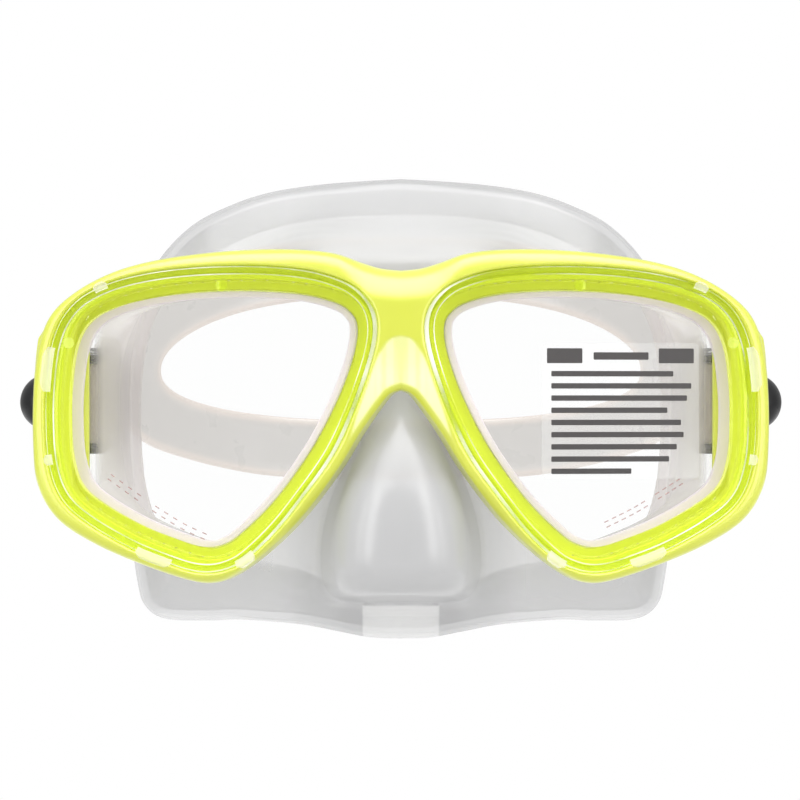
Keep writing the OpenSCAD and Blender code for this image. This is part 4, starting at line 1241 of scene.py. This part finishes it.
    # screw: socket head, shank with thread crests
    sc = [(81.45, 0.02), (81.45, 0.85)]
    for k in range(7):
        x0 = 81.6 + 0.5 * k
        sc += [(x0, 0.85), (x0 + 0.22, 1.09), (x0 + 0.3, 1.09)]
    sc += [(85.3, 1.05), (85.3, 2.45), (85.45, 2.6), (86.65, 2.6), (86.9, 2.35), (86.9, 1.3), (86.0, 1.3), (85.9, 0.02)]
    V, Q = lathe(sc, 48, "x", pc)
    V, Q = fin(V, outward_quads(V, Q), s)
    piece(f"cap_screw_{s}", V, Q, b, M_STEEL, [f"pivot_screw_{s}"], sharp=30)


make_frame()
make_skirt()
make_windows()
make_strap()
for side_name in ("left", "right"):
    make_buckle(side_name)
    make_small(side_name)

# ------------------------------------------------------------------ stage
sc = bpy.context.scene
sc.view_settings.view_transform = "Standard"
sc.view_settings.look = "None"
sc.cycles.transparent_max_bounces = 48
sc.cycles.max_bounces = 16
sc.cycles.transmission_bounces = 14
sc.cycles.sample_clamp_indirect = 6.0
lo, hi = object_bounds()
fl = bpy.data.meshes.new("floor")
zf = lo.z - 0.0002
R = 0.32
n = 64
fl.from_pydata([(R * math.cos(2 * math.pi * i / n), 0.01 + R * math.sin(2 * math.pi * i / n), zf) for i in range(n)], [], [list(range(n))])
floor = bpy.data.objects.new("floor", fl)
sc.collection.objects.link(floor)
fm, nt, out = node_material("pale_floor")
em = nt.nodes.new("ShaderNodeEmission")
em.inputs[0].default_value = (1, 1, 1, 1)
em.inputs[1].default_value = 1.0
dim = nt.nodes.new("ShaderNodeEmission")
dim.inputs[1].default_value = 0.9
shine = nt.nodes.new("ShaderNodeEmission")
shine.inputs[1].default_value = 1.3
lpf = nt.nodes.new("ShaderNodeLightPath")
part = mix(nt, lpf.outputs["Is Glossy Ray"], dim.outputs[0], shine.outputs[0])
nt.links.new(mix(nt, lpf.outputs["Is Camera Ray"], part, em.outputs[0]), out.inputs[0])
fl.materials.append(fm)

world = bpy.data.worlds.new("studio")
sc.world = world
world.use_nodes = True
wn = world.node_tree
for nd in list(wn.nodes):
    wn.nodes.remove(nd)
wo = wn.nodes.new("ShaderNodeOutputWorld")
bg1 = wn.nodes.new("ShaderNodeBackground")
bg1.inputs[0].default_value = (1, 1, 1, 1)
bg1.inputs[1].default_value = 1.0
bg2 = wn.nodes.new("ShaderNodeBackground")
tc = wn.nodes.new("ShaderNodeTexCoord")
sep = wn.nodes.new("ShaderNodeSeparateXYZ")
wn.links.new(tc.outputs["Generated"], sep.inputs[0])
def wmath(op, x, y):
    m = wn.nodes.new("ShaderNodeMath")
    m.operation = op
    for k, v in enumerate((x, y)):
        if hasattr(v, "is_linked"):
            wn.links.new(v, m.inputs[k])
        else:
            m.inputs[k].default_value = v
    return m.outputs[0]


# dimmer straight ahead of the object, brighter from above, below and the sides
up = wmath("MULTIPLY", wmath("POWER", wmath("ABSOLUTE", sep.outputs["Z"], 0.0), 1.3), 0.55)
across = wmath("MULTIPLY", wmath("POWER", wmath("ABSOLUTE", sep.outputs["X"], 0.0), 2.0), 0.30)
wn.links.new(wmath("ADD", wmath("ADD", up, across), 0.60), bg2.inputs[1])
lp = wn.nodes.new("ShaderNodeLightPath")
mx = wn.nodes.new("ShaderNodeMixShader")
wn.links.new(lp.outputs["Is Camera Ray"], mx.inputs[0])
wn.links.new(bg2.outputs[0], mx.inputs[1])
wn.links.new(bg1.outputs[0], mx.inputs[2])
bg3 = wn.nodes.new("ShaderNodeBackground")
bg3.inputs[0].default_value = (1, 1, 1, 1)
wn.links.new(wmath("ADD", wmath("MULTIPLY", sep.outputs["Z"], 0.28), 0.86), bg3.inputs[1])
mx2 = wn.nodes.new("ShaderNodeMixShader")
wn.links.new(lp.outputs["Is Diffuse Ray"], mx2.inputs[0])
wn.links.new(mx.outputs[0], mx2.inputs[1])
wn.links.new(bg3.outputs[0], mx2.inputs[2])
wn.links.new(mx2.outputs[0], wo.inputs[0])


def area(name, loc, target, size, size_y, energy, only_gloss=False):
    ld = bpy.data.lights.new(name, "AREA")
    ld.shape = "RECTANGLE"
    ld.size, ld.size_y = size, size_y
    ld.energy = energy
    ob = bpy.data.objects.new(name, ld)
    ob.location = loc
    ob.rotation_mode = "QUATERNION"
    ob.rotation_quaternion = (Vector(target) - Vector(loc)).to_track_quat("-Z", "Y")
    ob.visible_camera = False
    ob.visible_transmission = False
    ob.visible_diffuse = not only_gloss
    sc.collection.objects.link(ob)
    return ob


area("key_top", (0.05, -0.35, 0.75), (0, -0.03, 0), 0.9, 0.5, 3.0)
area("gloss_top", (0.0, -0.30, 0.60), (0, -0.03, 0), 1.2, 0.7, 11.0, True)
area("gloss_low", (0.0, -0.52, -0.44), (0, -0.05, 0), 0.55, 0.2, 0.8, True)
area("gloss_left", (-0.46, -0.62, -0.02), (0, -0.05, 0), 0.24, 1.2, 5.0, True)
area("gloss_right", (0.46, -0.62, -0.02), (0, -0.05, 0), 0.24, 1.2, 5.0, True)
area("side_left", (-0.75, -0.45, 0.15), (0, -0.03, 0), 0.25, 0.8, 2.0)
area("side_right", (0.75, -0.45, 0.15), (0, -0.03, 0), 0.25, 0.8, 2.0)

cam = bpy.data.cameras.new("camera")
cam.lens = 139.9
cam.sensor_width = 36
cam.clip_start, cam.clip_end = 0.05, 20
co = bpy.data.objects.new("camera", cam)
co.location = (-0.0002, -0.759, 0)
co.rotation_mode = "QUATERNION"
co.rotation_quaternion = Vector((0, 1, 0)).to_track_quat("-Z", "Y")
sc.collection.objects.link(co)
sc.camera = co
